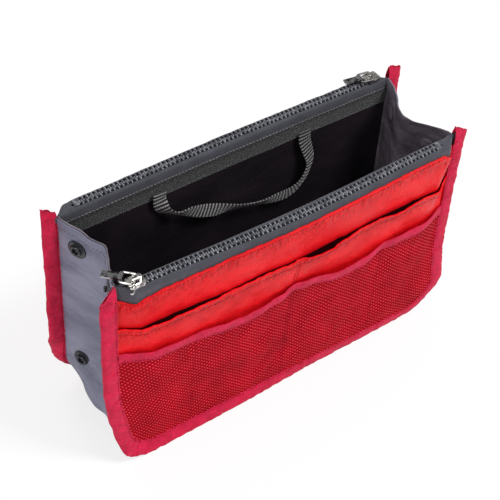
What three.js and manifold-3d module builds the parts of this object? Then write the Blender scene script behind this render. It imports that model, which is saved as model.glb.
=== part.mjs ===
// Purse organizer insert: two zipped fabric panels joined by a folding gusset.
// Millimetres, +X along the panels, +Y to the back, +Z up, origin in the middle of the base.
import * as THREE from 'three';
import { mergeVertices } from 'three/addons/utils/BufferGeometryUtils.js';
import Module from 'manifold-3d';

// Overall sizes
const overallWidth = 280;
const zipHeight = 172;
const bindingRise = 6;
const panelSpacing = 62;
const outerCornerRadius = 36;

// Cloth and running gaps
const clothThickness = 0.5;
const tapeThickness = 0.6;
const layerGap = 0.3;
const edgeGap = 0.3;
const seamAllowance = 9.6;
const footTrim = 0.4;

// Binding round each panel's sides and base
const bindingWidth = 11;
const bindingCloth = 0.6;
const bindingWeb = 0.8;
const bindingLap = 0.5;
const seamStandoff = 1;
const ridgeReach = 0.3;
const ridgeWidth = 1.1;

// Outer face: where each layer's top edge lies and how it sags
const zipTapeShown = 8;
const zipTapeDrop = 15;
const slipMouthHeight = 135;
const slipMouthSag = 2;
const meshTapeTopHeight = 109;
const meshTapeSag = 7;
const meshTapeHeight = 8.5;
const meshTapeLap = 0.8;
const zipEndRun = 6;
const lowerSideRun = 36;

// Inner face
const innerTapeDrop = 7;
const innerBandHeight = 11.5;

// Zip
const toothPitch = 3.2;
const toothWidth = 1.3;
const toothHeight = 2.6;
const toothTipReach = 1.5;
const chainHalfWidth = 3.1;
const chainEndInset = 18;
const zipStopLength = 3.2;
const zipStopHeight = 3.2;
const tapeEndLip = 0.1;

// Slider
const sliderLength = 11;
const sliderInset = 12;
const sliderFlange = 1;
const sliderPlate = 1.3;
const sliderCornerRadius = 1.6;
const flangeTapeGap = 0.3;
const sliderNeckLength = 1.6;
const sliderNeckWidth = 1.8;
const bailLength = 7;
const bailWidth = 2;
const bailWall = 1;
const bailChamfer = 0.9;

// Zip pull
const linkWire = 1.5;
const linkSpan = 9;
const linkWidth = 8.4;
const linkCornerRadius = 1.2;
const pullAngles = { front: 135, back: -9 };
const tabLength = 11.5;
const tabWidth = 5.4;
const tabThickness = 1.2;
const tabKnuckleWall = 0.75;
const tabRim = 0.9;
const tabRecess = 0.25;

// Handle
const handleSpread = 57;
const handleDrop = 42;
const handleWidth = 10;
const handleThickness = 1.2;
const handleBend = 20;
const handleBow = 2.8;
const handleRootRise = 0.3;
const handlePivotDrop = 1;

// Gusset
const gussetHalfWidth = 34;
const gussetTopDrop = 4;
const flapStart = 0.9;
const creaseGap = 0.15;
const cornerClearance = 1.5;

// Snaps
const snapInset = 13;
const snapLowRise = 14;
const snapTopDrop = 14;
const snapFlangeRadius = 6.75;
const snapFlangeTop = 1.2;
const snapNeckRadius = 4.2;
const snapNeckTop = 2.8;
const snapRecessRadius = 2.6;
const snapRecessFloor = 1;
const snapNippleRadius = 2;
const snapNippleTop = 3.7;
const snapPostRadius = 2;
const snapCapRadius = 6;
const snapCapThickness = 1;

// Facet counts
const cornerSteps = 8;
const bendSteps = 5;
const snapSides = 16;
const holeSegments = 8;
const wireSides = 8;
const wireCornerSteps = 3;

// Shares of the half width, less the zip's end run, where the outer layers have their columns
const columnShares = [0.37, 0.66, 0.83, 0.925];
// Shares of the zip's end run where the outer layers and the outer tape have their steps
const endRunShares = [0, 0.33, 0.67, 1];
// Shares of the way from the slip pocket's mouth down to the corner's start
const lowerRowShares = [0.14, 0.27, 0.36, 0.5, 0.75, 1];
// Shares of the corner radius, downwards, where the layers have their last rows
const cornerRowShares = [0.5, 0.84, 1];
// How fast the zip pocket's depth fades downwards
const pocketFadeShare = 1.6;

// Plan of the seam line that the panels, binding and gusset share
const seamHalf = overallWidth / 2 - bindingWidth;
const seamBase = bindingWidth;
const seamRadius = outerCornerRadius - bindingWidth;
const cornerX = seamHalf - seamRadius;
const cornerZ = seamBase + seamRadius;
const bindingTop = zipHeight + bindingRise;

// Places outward from the seam axis, layer by layer
const innerSeat = seamStandoff + bindingCloth + layerGap;
const outerTapeSeat = innerSeat + tapeThickness + layerGap;
const wallSeat = outerTapeSeat + tapeThickness + layerGap;
const layerStep = clothThickness + layerGap;
const outerLayerCount = 3;
const bindingOuterFlange = wallSeat + outerLayerCount * layerStep;
const bindingFace = bindingOuterFlange + bindingCloth;
const sliderHalfWidth = chainHalfWidth + layerGap + sliderFlange;
const legReach = sliderHalfWidth + layerGap;
const zipOut = innerSeat + tapeThickness + legReach;
const outerTapeTop = zipOut + legReach;
const wallTop = outerTapeTop + tapeThickness + layerGap;

// Heights on the panel
const wallTopHeight = zipHeight - zipTapeShown;
const outerTapeFoot = zipHeight - zipTapeDrop;
const innerTapeFoot = zipHeight - innerTapeDrop;
const bandTop = innerTapeFoot - edgeGap;
const bandFoot = bandTop - innerBandHeight;
const liningTop = bandFoot - edgeGap;
const tapeFace = tapeThickness / 2;

// Gusset places
const gussetRestAngle = Math.acos(panelSpacing / 2 / gussetHalfWidth);
const gussetTop = zipHeight - gussetTopDrop;
const gussetFoot = cornerZ + edgeGap;
const liningNear = clothThickness + layerGap;
const liningFar = liningNear + clothThickness;
const flapEnd = gussetHalfWidth - creaseGap;
const baseFlapHalf = seamHalf - gussetHalfWidth - cornerClearance;
const snapHeights = { lower: cornerZ + snapLowRise, upper: gussetTop - snapTopDrop };

// Slider places along the panel
const sliderX = -(seamHalf - sliderInset);
const sliderHalf = sliderLength / 2;
const chainStart = sliderX - sliderHalf + sliderNeckLength + layerGap;
const chainEnd = seamHalf - chainEndInset;
const toothFace = toothHeight / 2;
const plateNear = toothFace + layerGap;
const plateFar = plateNear + sliderPlate;
const wireRadius = linkWire / 2;
const pullHeight = plateFar + layerGap + wireRadius;

const wasm = await Module();
wasm.setup();

// Colours, roughness and metalness seen on the object
const finishes = {
  redNylon: [0xd8232f, 0.55, 0],
  crimsonTape: [0xc81740, 0.7, 0],
  redMesh: [0xa50c22, 0.75, 0],
  greyNylon: [0x85858f, 0.6, 0],
  blackLining: [0x1c181d, 0.5, 0],
  zipTape: [0x555a64, 0.85, 0],
  zipTeeth: [0x3b3d42, 0.45, 0],
  chrome: [0xc9ccd0, 0.2, 1],
  wovenBand: [0x464a48, 0.9, 0],
  webbing: [0x4a494d, 0.9, 0],
  snapPlastic: [0x2c2d33, 0.4, 0],
};

function piece(name, geometry, finish) {
  const [color, roughness, metalness] = finishes[finish];
  const material = new THREE.MeshStandardMaterial({ color, roughness, metalness });
  const mesh = new THREE.Mesh(geometry, material);
  mesh.name = name;
  return mesh;
}

// A closed geometry from points and triangles, with its faces turned outwards
function closedGeometry(points, triangles) {
  let volume = 0;
  for (const [a, b, c] of triangles) {
    volume += points[a].dot(points[b].clone().cross(points[c]));
  }
  const faces = volume < 0 ? triangles.map(([a, b, c]) => [a, c, b]) : triangles;
  const geometry = new THREE.BufferGeometry();
  geometry.setAttribute('position', new THREE.Float32BufferAttribute(points.flatMap((p) => p.toArray()), 3));
  geometry.setIndex(faces.flat());
  geometry.computeVertexNormals();
  return geometry;
}

// The same geometry with shared corners merged and slivers of no area dropped
function merged(source) {
  const bare = source.index ? source.clone() : mergeVertices(source);
  bare.deleteAttribute('normal');
  bare.deleteAttribute('uv');
  const whole = mergeVertices(bare);
  const position = whole.getAttribute('position');
  const points = [];
  for (let i = 0; i < position.count; i += 1) {
    points.push(new THREE.Vector3().fromBufferAttribute(position, i));
  }
  const triangles = [];
  for (let i = 0; i < whole.index.count; i += 3) {
    const corners = [whole.index.getX(i), whole.index.getX(i + 1), whole.index.getX(i + 2)];
    if (new Set(corners).size === corners.length) {
      triangles.push(corners);
    }
  }
  return closedGeometry(points, triangles);
}

function toManifold(source) {
  const geometry = merged(source);
  return new wasm.Manifold(new wasm.Mesh({
    numProp: 3,
    vertProperties: new Float32Array(geometry.getAttribute('position').array),
    triVerts: new Uint32Array(geometry.index.array),
  }));
}

function fromManifold(solid) {
  const { vertProperties, triVerts, numProp } = solid.getMesh();
  const geometry = new THREE.BufferGeometry();
  const positions = [];
  for (let i = 0; i < vertProperties.length; i += numProp) {
    positions.push(vertProperties[i], vertProperties[i + 1], vertProperties[i + 2]);
  }
  geometry.setAttribute('position', new THREE.Float32BufferAttribute(positions, 3));
  geometry.setIndex(Array.from(triVerts));
  geometry.computeVertexNormals();
  return geometry;
}

function joined(...geometries) {
  return geometries.map(toManifold).reduce((sum, next) => sum.add(next));
}

// A box from its low corner to its high corner
function box(low, high) {
  const size = high.map((value, i) => value - low[i]);
  const middle = high.map((value, i) => (value + low[i]) / 2);
  return new THREE.BoxGeometry(...size).translate(...middle);
}

// A flat outline, drawn along and up, given thickness between two places on the Y axis
function plateFacingY(shape, nearY, farY) {
  const geometry = new THREE.ExtrudeGeometry(shape, {
    depth: farY - nearY,
    bevelEnabled: false,
    curveSegments: holeSegments,
  });
  return merged(geometry.rotateX(Math.PI / 2).translate(0, farY, 0));
}

// A flat outline, drawn in plan, given thickness between two heights
function plateFacingUp(shape, lowZ, highZ) {
  const options = { depth: highZ - lowZ, bevelEnabled: false, curveSegments: wireCornerSteps };
  return merged(new THREE.ExtrudeGeometry(shape, options).translate(0, 0, lowZ));
}

function roundedRectangle(length, width, radius) {
  const halfLength = length / 2;
  const halfWidth = width / 2;
  const straight = halfLength - radius;
  const across = halfWidth - radius;
  const shape = new THREE.Shape();
  shape.absarc(straight, across, radius, 0, Math.PI / 2);
  shape.absarc(-straight, across, radius, Math.PI / 2, Math.PI);
  shape.absarc(-straight, -across, radius, Math.PI, Math.PI * 1.5);
  shape.absarc(straight, -across, radius, Math.PI * 1.5, Math.PI * 2);
  return shape;
}

// A solid swept through rings of matching corners: open ends are capped, a loop is closed
function ringSolid(rings, outline, isLoop = false) {
  const count = rings[0].length;
  const points = rings.flat();
  const triangles = [];
  const spans = isLoop ? rings.length : rings.length - 1;
  for (let i = 0; i < spans; i += 1) {
    const here = i * count;
    const there = ((i + 1) % rings.length) * count;
    for (let j = 0; j < count; j += 1) {
      const k = (j + 1) % count;
      triangles.push([here + j, here + k, there + k], [here + j, there + k, there + j]);
    }
  }
  if (!isLoop) {
    const last = (rings.length - 1) * count;
    const isTurned = THREE.ShapeUtils.isClockWise(outline);
    for (const cap of THREE.ShapeUtils.triangulateShape(outline, [])) {
      const [a, b, c] = isTurned ? cap.reverse() : cap;
      triangles.push([c, b, a], [last + a, last + b, last + c]);
    }
  }
  return closedGeometry(points, triangles);
}

// A thin sheet from a grid of places: rows run down, columns across, two faces thick
function sheetSolid(rows, placeAt) {
  const rowCount = rows.length;
  const columnCount = rows[0].length;
  const points = [];
  for (const face of [0, 1]) {
    for (let i = 0; i < rowCount; i += 1) {
      for (let j = 0; j < columnCount; j += 1) {
        points.push(placeAt(rows[i][j], face));
      }
    }
  }
  const at = (face, i, j) => (face * rowCount + i) * columnCount + j;
  const triangles = [];
  const quad = (a, b, c, d) => triangles.push([a, b, c], [a, c, d]);
  for (let i = 0; i < rowCount - 1; i += 1) {
    for (let j = 0; j < columnCount - 1; j += 1) {
      quad(at(0, i, j), at(0, i, j + 1), at(0, i + 1, j + 1), at(0, i + 1, j));
      quad(at(1, i, j), at(1, i + 1, j), at(1, i + 1, j + 1), at(1, i, j + 1));
    }
  }
  for (let i = 0; i < rowCount - 1; i += 1) {
    const end = columnCount - 1;
    quad(at(0, i, 0), at(0, i + 1, 0), at(1, i + 1, 0), at(1, i, 0));
    quad(at(0, i + 1, end), at(0, i, end), at(1, i, end), at(1, i + 1, end));
  }
  for (let j = 0; j < columnCount - 1; j += 1) {
    const end = rowCount - 1;
    quad(at(0, 0, j + 1), at(0, 0, j), at(1, 0, j), at(1, 0, j + 1));
    quad(at(0, end, j), at(0, end, j + 1), at(1, end, j + 1), at(1, end, j));
  }
  return closedGeometry(points, triangles);
}

// Panel places: x along, out = outward from the seam axis (towards -Y), z up
const panelPoint = (x, out, z) => new THREE.Vector3(x, -out, z);

function smooth(value) {
  const t = THREE.MathUtils.clamp(value, 0, 1);
  return t * t * (3 - 2 * t);
}

// Half width of the seam line at a height, and of a layer that runs further out by the allowance
function halfWidthAt(z, allowance) {
  if (z >= cornerZ) {
    return seamHalf + allowance;
  }
  const radius = seamRadius + allowance;
  const drop = Math.min(cornerZ - z, radius);
  return cornerX + Math.sqrt(radius * radius - drop * drop);
}

// How far the outer layers stand out: full depth at the zip, nothing at the seam line
function bulge(x, z) {
  const heightShare = THREE.MathUtils.clamp((z - seamBase) / (outerTapeFoot - seamBase), 0, 1);
  const depthShare = heightShare ** pocketFadeShare;
  const run = zipEndRun + (lowerSideRun - zipEndRun) * (1 - depthShare);
  const inward = halfWidthAt(Math.max(z, seamBase), 0) - Math.abs(x);
  return (wallTop - wallSeat) * depthShare * smooth(inward / run);
}

// Columns at a height, from the left edge to the right edge, out to where the layer ends
function columnsAt(z, edgeHalf) {
  const ramp = halfWidthAt(Math.max(z, seamBase), 0) - zipEndRun;
  const middle = columnShares.map((share) => share * ramp);
  const run = endRunShares.map((share) => ramp + zipEndRun * share).filter((x) => x < edgeHalf);
  const right = [...middle, ...run, edgeHalf];
  return [...right.map((x) => -x).reverse(), 0, ...right];
}

const sagAt = (x, sag) => sag * Math.abs(Math.sin((Math.PI * Math.min(Math.abs(x), seamHalf)) / seamHalf));

const sheetFoot = seamBase - seamAllowance + footTrim;
const sheetHeights = [
  wallTopHeight,
  outerTapeFoot,
  slipMouthHeight,
  ...lowerRowShares.map((share) => slipMouthHeight + (cornerZ - slipMouthHeight) * share),
  ...cornerRowShares.map((share) => cornerZ - seamRadius * share),
  sheetFoot,
];

// One outer layer, hung from its top edge down to the base, a number of layers out from the wall
function outerLayer(topHeight, sag, layerIndex) {
  const heights = [topHeight, ...sheetHeights.filter((z) => z < topHeight - sag - layerStep)];
  const rows = heights.map((z, i) => columnsAt(z, halfWidthAt(z, seamAllowance)).map((x) => (
    { x, z: i === 0 ? z - sagAt(x, sag) : z }
  )));
  const nearOut = wallSeat + layerIndex * layerStep;
  return sheetSolid(rows, ({ x, z }, face) => (
    panelPoint(x, nearOut + face * clothThickness + bulge(x, z), z)
  ));
}

// The elastic tape along the mesh pocket's mouth
function meshTape() {
  const edgeHalf = seamHalf - bindingLap - edgeGap;
  const columns = columnsAt(meshTapeTopHeight, edgeHalf);
  const rows = [0, meshTapeHeight].map((drop) => columns.map((x) => (
    { x, z: meshTapeTopHeight - sagAt(x, meshTapeSag) - drop }
  )));
  const nearOut = wallSeat + outerLayerCount * layerStep;
  return sheetSolid(rows, ({ x, z }, face) => (
    panelPoint(x, nearOut + face * clothThickness + bulge(x, z), z)
  ));
}

// The lining: a flat sheet with the panel's rounded lower corners
function innerWall() {
  const half = seamHalf + seamAllowance;
  const radius = seamRadius + seamAllowance;
  const shape = new THREE.Shape();
  shape.moveTo(-half, liningTop);
  shape.absarc(-cornerX, cornerZ, radius, Math.PI, Math.PI * 1.5);
  shape.absarc(cornerX, cornerZ, radius, Math.PI * 1.5, Math.PI * 2);
  shape.lineTo(half, liningTop);
  return plateFacingY(shape, -(innerSeat + clothThickness), -innerSeat);
}

function innerBand() {
  const half = seamHalf + seamAllowance;
  return box([-half, -(innerSeat + tapeThickness), bandFoot], [half, -innerSeat, bandTop]);
}

// A zip tape: a leg down the panel's face and a ledge that reaches to the teeth
function zipTape(isOuter) {
  const end = seamHalf + seamAllowance;
  const ramp = seamHalf - zipEndRun;
  const right = [...endRunShares.map((share) => ramp + zipEndRun * share), end];
  const stations = [...right.map((x) => -x).reverse(), ...right];
  const foot = isOuter ? outerTapeFoot : innerTapeFoot;
  const inward = isOuter ? -1 : 1;
  const endSeat = isOuter ? outerTapeSeat + tapeEndLip : innerSeat;
  const middleSeat = isOuter ? outerTapeTop : innerSeat;
  const endFace = isOuter ? endSeat : endSeat + tapeThickness;
  const endLedge = endFace + inward * tapeEndLip;
  const middleLedge = zipOut - inward * (chainHalfWidth + layerGap);
  const sections = stations.map((x) => {
    const share = smooth((seamHalf - Math.abs(x)) / zipEndRun);
    const seat = THREE.MathUtils.lerp(endSeat, middleSeat, share);
    const ledge = THREE.MathUtils.lerp(endLedge, middleLedge, share);
    const [back, front] = isOuter ? [seat + tapeThickness, seat] : [seat, seat + tapeThickness];
    return [
      [back, foot],
      [back, zipHeight + tapeFace],
      [ledge, zipHeight + tapeFace],
      [ledge, zipHeight - tapeFace],
      [front, zipHeight - tapeFace],
      [front, foot],
    ];
  });
  const rings = sections.map((section, i) => section.map(([out, z]) => panelPoint(stations[i], out, z)));
  const outline = sections[sections.length / 2].map(([out, z]) => new THREE.Vector2(out, z));
  return ringSolid(rings, outline);
}

// One row of zip teeth on its spine. The other row is turned to face it, half a pitch along
function toothRow(isOuter) {
  const side = isOuter ? 1 : -1;
  const spineInner = toothTipReach + layerGap;
  const count = Math.floor((chainEnd - chainStart) / toothPitch) - 1;
  const lead = isOuter ? 0 : toothPitch / 2;
  const outline = [[chainStart, chainHalfWidth], [chainStart, spineInner]];
  for (let i = 0; i < count; i += 1) {
    const from = chainStart + lead + toothPitch * (i + 0.5) - toothWidth / 2;
    outline.push([from, spineInner], [from, -toothTipReach]);
    outline.push([from + toothWidth, -toothTipReach], [from + toothWidth, spineInner]);
  }
  outline.push([chainEnd, spineInner], [chainEnd, chainHalfWidth]);
  const shape = new THREE.Shape(outline.map(([x, across]) => new THREE.Vector2(x, -zipOut - side * across)));
  return plateFacingUp(shape, zipHeight - toothFace, zipHeight + toothFace);
}

// The stop that ends the chain
function zipStop() {
  const near = chainEnd + edgeGap;
  const half = zipStopHeight / 2;
  return box(
    [near, -zipOut - chainHalfWidth, zipHeight - half],
    [near + zipStopLength, -zipOut + chainHalfWidth, zipHeight + half],
  );
}

// The slider at the origin of its own group: two plates, their flanges, the neck and the bail
function sliderBody() {
  const plate = roundedRectangle(sliderLength, 2 * sliderHalfWidth, sliderCornerRadius);
  const flangeFoot = tapeFace + flangeTapeGap;
  const flangeHalf = sliderHalf - sliderCornerRadius;
  const inner = sliderHalfWidth - sliderFlange;
  const parts = [];
  for (const level of [1, -1]) {
    const [low, high] = level > 0 ? [plateNear, plateFar] : [-plateFar, -plateNear];
    parts.push(plateFacingUp(plate, low, high));
    for (const side of [1, -1]) {
      const [near, far] = side > 0 ? [inner, sliderHalfWidth] : [-sliderHalfWidth, -inner];
      const [foot, top] = level > 0 ? [flangeFoot, high] : [low, -flangeFoot];
      parts.push(box([-flangeHalf, near, foot], [flangeHalf, far, top]));
    }
  }
  const neckHalf = sliderNeckWidth / 2;
  parts.push(box([-sliderHalf, -neckHalf, -plateFar], [-sliderHalf + sliderNeckLength, neckHalf, plateFar]));
  const bailHalf = bailLength / 2;
  const opening = bailHalf - bailWall;
  const openingTop = pullHeight + wireRadius + layerGap;
  const crown = openingTop + bailWall;
  const bail = new THREE.Shape([
    [-bailHalf, plateNear],
    [-opening, plateNear],
    [-opening, openingTop],
    [opening, openingTop],
    [opening, plateNear],
    [bailHalf, plateNear],
    [bailHalf, crown - bailChamfer],
    [bailHalf - bailChamfer, crown],
    [bailChamfer - bailHalf, crown],
    [-bailHalf, crown - bailChamfer],
  ].map(([x, z]) => new THREE.Vector2(x, z)));
  parts.push(plateFacingY(bail, -bailWidth / 2, bailWidth / 2));
  return fromManifold(joined(...parts));
}

// The wire link: a rounded rectangle of wire, its near bar through the bail at the origin
function pullLink() {
  const half = linkWidth / 2 - linkCornerRadius;
  const centres = [
    [linkCornerRadius, -half, Math.PI],
    [linkSpan - linkCornerRadius, -half, Math.PI * 1.5],
    [linkSpan - linkCornerRadius, half, 0],
    [linkCornerRadius, half, Math.PI / 2],
  ];
  const rings = [];
  for (const [x, y, start] of centres) {
    for (let i = 0; i <= wireCornerSteps; i += 1) {
      const turn = start + ((Math.PI / 2) * i) / wireCornerSteps;
      const away = new THREE.Vector3(Math.cos(turn), Math.sin(turn), 0);
      const centre = new THREE.Vector3(x, y, 0).addScaledVector(away, linkCornerRadius);
      const ring = [];
      for (let j = 0; j < wireSides; j += 1) {
        const roll = (2 * Math.PI * (j + 0.5)) / wireSides;
        const corner = centre.clone().addScaledVector(away, wireRadius * Math.cos(roll));
        corner.z += wireRadius * Math.sin(roll);
        ring.push(corner);
      }
      rings.push(ring);
    }
  }
  return ringSolid(rings, [], true);
}

// The pull tab: a knuckle round the link's far bar and a rimmed plate
function pullTab() {
  const bore = wireRadius + layerGap;
  const knuckleRadius = bore + tabKnuckleWall;
  const knuckle = new THREE.CylinderGeometry(knuckleRadius, knuckleRadius, tabWidth, snapSides);
  const overrun = tabWidth + tabKnuckleWall;
  const hole = new THREE.CylinderGeometry(bore, bore, overrun, snapSides);
  const halfWidth = tabWidth / 2;
  const halfPlate = tabThickness / 2;
  const plate = box([0, -halfWidth, -halfPlate], [tabLength, halfWidth, halfPlate]);
  const recess = box(
    [knuckleRadius + tabRim, tabRim - halfWidth, halfPlate - tabRecess],
    [tabLength - tabRim, halfWidth - tabRim, halfPlate + tabRecess],
  );
  return fromManifold(joined(knuckle, plate).subtract(toManifold(hole)).subtract(toManifold(recess)));
}

// The slider with its pull, which lies flat where it has fallen
function slider(side) {
  const group = new THREE.Group();
  group.position.set(sliderX, -zipOut, zipHeight);
  group.add(piece(`${side}_slider_body`, sliderBody(), 'chrome'));
  const pull = new THREE.Group();
  pull.position.z = pullHeight;
  pull.rotation.z = THREE.MathUtils.degToRad(pullAngles[side]);
  pull.add(piece(`${side}_pull_link`, pullLink(), 'chrome'));
  const tab = piece(`${side}_pull_tab`, pullTab(), 'chrome');
  tab.position.x = linkSpan;
  pull.add(tab);
  group.add(pull);
  return group;
}

// The binding: a folded tape round the sides and base, with the ridge that the gusset is sewn to
function binding() {
  const outline = [
    [-ridgeReach, -ridgeReach],
    [ridgeWidth - ridgeReach, -ridgeReach],
    [ridgeWidth - ridgeReach, seamStandoff],
    [bindingWidth, seamStandoff],
    [bindingWidth, bindingFace],
    [-bindingLap, bindingFace],
    [-bindingLap, bindingOuterFlange],
    [bindingWidth - bindingWeb, bindingOuterFlange],
    [bindingWidth - bindingWeb, seamStandoff + bindingCloth],
    [-ridgeReach, seamStandoff + bindingCloth],
  ];
  const stations = [{ x: -seamHalf, z: bindingTop, turn: Math.PI }];
  for (const side of [-1, 1]) {
    for (let i = 0; i <= cornerSteps; i += 1) {
      const share = i / cornerSteps;
      const turn = side < 0 ? Math.PI + (Math.PI / 2) * share : Math.PI * 1.5 + (Math.PI / 2) * share;
      stations.push({
        x: side * cornerX + seamRadius * Math.cos(turn),
        z: cornerZ + seamRadius * Math.sin(turn),
        turn,
      });
    }
  }
  stations.push({ x: seamHalf, z: bindingTop, turn: 0 });
  const rings = stations.map(({ x, z, turn }) => outline.map(([away, out]) => (
    panelPoint(x + away * Math.cos(turn), out, z + away * Math.sin(turn))
  )));
  return ringSolid(rings, outline.map(([away, out]) => new THREE.Vector2(away, out)));
}

// The webbing handle: down, round a bend, across and up again, bowed a little off the lining
function handle() {
  const pivot = bandFoot - handlePivotDrop;
  const foot = pivot - handleDrop;
  const half = handleWidth / 2;
  const wallClear = innerSeat - layerGap - handleThickness / 2;
  const bendX = handleSpread - handleBend;
  const bendZ = foot + handleBend;
  const left = [{ x: -handleSpread, z: pivot + handleRootRise, turn: Math.PI }];
  for (let i = 0; i <= bendSteps; i += 1) {
    const turn = Math.PI + ((Math.PI / 2) * i) / bendSteps;
    left.push({ x: -bendX + handleBend * Math.cos(turn), z: bendZ + handleBend * Math.sin(turn), turn });
  }
  const right = left.map(({ x, z, turn }) => ({ x: -x, z, turn: 3 * Math.PI - turn })).reverse();
  const rings = [...left, ...right].map(({ x, z, turn }) => {
    const bow = handleBow * smooth((pivot - z) / handleDrop);
    const corners = [[half, 1], [-half, 1], [-half, -1], [half, -1]];
    return corners.map(([away, face]) => panelPoint(
      x + away * Math.cos(turn),
      wallClear - bow + (face * handleThickness) / 2,
      z + away * Math.sin(turn),
    ));
  });
  const outline = [[half, handleThickness], [-half, handleThickness], [-half, 0], [half, 0]];
  return ringSolid(rings, outline.map(([across, through]) => new THREE.Vector2(across, through)));
}

// The gusset strip round one lower corner, both plies as one, from the seam to the fold
function cornerStrip() {
  const rise = Math.cos(gussetRestAngle);
  const inset = Math.sin(gussetRestAngle);
  const path = [];
  for (let i = 0; i <= cornerSteps; i += 1) {
    const turn = Math.PI + ((Math.PI / 2) * i) / cornerSteps;
    path.push({
      x: -cornerX + seamRadius * Math.cos(turn),
      z: cornerZ + seamRadius * Math.sin(turn),
      turn,
    });
  }
  path.push({ x: -(baseFlapHalf + edgeGap), z: seamBase, turn: Math.PI * 1.5 });
  const section = [[flapStart, 0], [flapEnd, 0], [flapEnd, liningFar], [flapStart, liningFar]];
  const rings = path.map(({ x, z, turn }) => section.map(([along, through]) => {
    const inward = along * inset + through * rise;
    const across = along * rise - through * inset;
    return panelPoint(x - inward * Math.cos(turn), -across, z - inward * Math.sin(turn));
  }));
  return ringSolid(rings, section.map(([along, through]) => new THREE.Vector2(along, through)));
}

// A front panel in its own place: the seam axis lies on the panel's Y = 0
function panel(side, leftName, rightName) {
  const group = new THREE.Group();
  group.add(piece(`${side}_outer_wall`, outerLayer(wallTopHeight, 0, 0), 'redNylon'));
  group.add(piece(`${side}_slip_pocket`, outerLayer(slipMouthHeight, slipMouthSag, 1), 'redNylon'));
  const meshTop = meshTapeTopHeight - meshTapeLap;
  group.add(piece(`${side}_mesh_pocket`, outerLayer(meshTop, meshTapeSag, 2), 'redMesh'));
  group.add(piece(`${side}_mesh_tape`, meshTape(), 'crimsonTape'));
  group.add(piece(`${side}_inner_wall`, innerWall(), 'blackLining'));
  group.add(piece(`${side}_inner_band`, innerBand(), 'wovenBand'));
  group.add(piece(`${side}_zip_tape_outer`, zipTape(true), 'zipTape'));
  group.add(piece(`${side}_zip_tape_inner`, zipTape(false), 'zipTape'));
  group.add(piece(`${side}_zip_teeth_outer`, toothRow(true), 'zipTeeth'));
  group.add(piece(`${side}_zip_teeth_inner`, toothRow(false), 'zipTeeth'));
  group.add(piece(`${side}_zip_stop`, zipStop(), 'zipTeeth'));
  group.add(piece(`${side}_binding`, binding(), 'crimsonTape'));
  group.add(piece(`${side}_handle`, handle(), 'webbing'));
  group.add(slider(side));
  group.add(piece(`${leftName}_corner_${side}`, cornerStrip(), 'greyNylon'));
  const rightCorner = cornerStrip();
  const mirrored = rightCorner.scale(-1, 1, 1);
  group.add(piece(`${rightName}_corner_${side}`, merged(mirrored), 'greyNylon'));
  return group;
}

// One ply of a gusset half, with holes for the snap posts where it has any
function flapPly(foot, top, snapPlaces, nearY, farY) {
  const shape = new THREE.Shape([
    new THREE.Vector2(flapStart, foot),
    new THREE.Vector2(flapEnd, foot),
    new THREE.Vector2(flapEnd, top),
    new THREE.Vector2(flapStart, top),
  ]);
  for (const z of snapPlaces) {
    const hole = new THREE.Path();
    hole.absarc(snapInset, z, snapPostRadius + layerGap, 0, 2 * Math.PI, true);
    shape.holes.push(hole);
  }
  return plateFacingY(shape, nearY, farY);
}

// A snap half: an inner cap, a post through both plies and a socket or a stud outside
function snapHalf(isSocket) {
  const capTop = -(liningFar + layerGap);
  const capFoot = capTop - snapCapThickness;
  const mouth = isSocket
    ? [
      [snapNeckRadius, snapFlangeTop],
      [snapNeckRadius, snapNeckTop],
      [snapRecessRadius, snapNeckTop],
      [snapRecessRadius, snapRecessFloor],
      [0, snapRecessFloor],
    ]
    : [[snapNippleRadius, snapFlangeTop], [snapNippleRadius, snapNippleTop], [0, snapNippleTop]];
  const profile = [
    [0, capFoot],
    [snapCapRadius, capFoot],
    [snapCapRadius, capTop],
    [snapPostRadius, capTop],
    [snapPostRadius, layerGap],
    [snapFlangeRadius, layerGap],
    [snapFlangeRadius, snapFlangeTop],
    ...mouth,
  ].map(([radius, height]) => new THREE.Vector2(radius, height));
  return merged(new THREE.LatheGeometry(profile, snapSides));
}

// One half of a side gusset. It runs along its own +X from the seam, its lining towards +Y or -Y
function gussetHalf(name, liningSide, isSocket) {
  const group = new THREE.Group();
  const places = Object.values(snapHeights);
  const span = (near, far) => (liningSide > 0 ? [near, far] : [-far, -near]);
  const cloth = flapPly(gussetFoot, gussetTop, places, ...span(0, clothThickness));
  const lining = flapPly(gussetFoot, gussetTop, places, ...span(liningNear, liningFar));
  group.add(piece(`${name}_cloth`, cloth, 'greyNylon'));
  group.add(piece(`${name}_lining`, lining, 'blackLining'));
  const kind = isSocket ? 'socket' : 'stud';
  for (const [level, z] of Object.entries(snapHeights)) {
    const snap = piece(`${name}_${level}_snap_${kind}`, snapHalf(isSocket), 'snapPlastic');
    snap.position.set(snapInset, 0, z);
    snap.rotation.x = liningSide > 0 ? Math.PI : 0;
    group.add(snap);
  }
  return group;
}

// Both halves of a side gusset, placed on the seam axes of the left side
function sideGusset(side, nearPanel, farPanel) {
  const group = new THREE.Group();
  const far = gussetHalf(`${side}_gusset_${farPanel}`, 1, farPanel === 'back');
  far.position.set(-seamHalf, panelSpacing / 2, 0);
  far.rotation.z = gussetRestAngle - Math.PI / 2;
  const near = gussetHalf(`${side}_gusset_${nearPanel}`, -1, nearPanel === 'back');
  near.position.set(-seamHalf, -panelSpacing / 2, 0);
  near.rotation.z = Math.PI / 2 - gussetRestAngle;
  group.add(far, near);
  return group;
}

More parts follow.
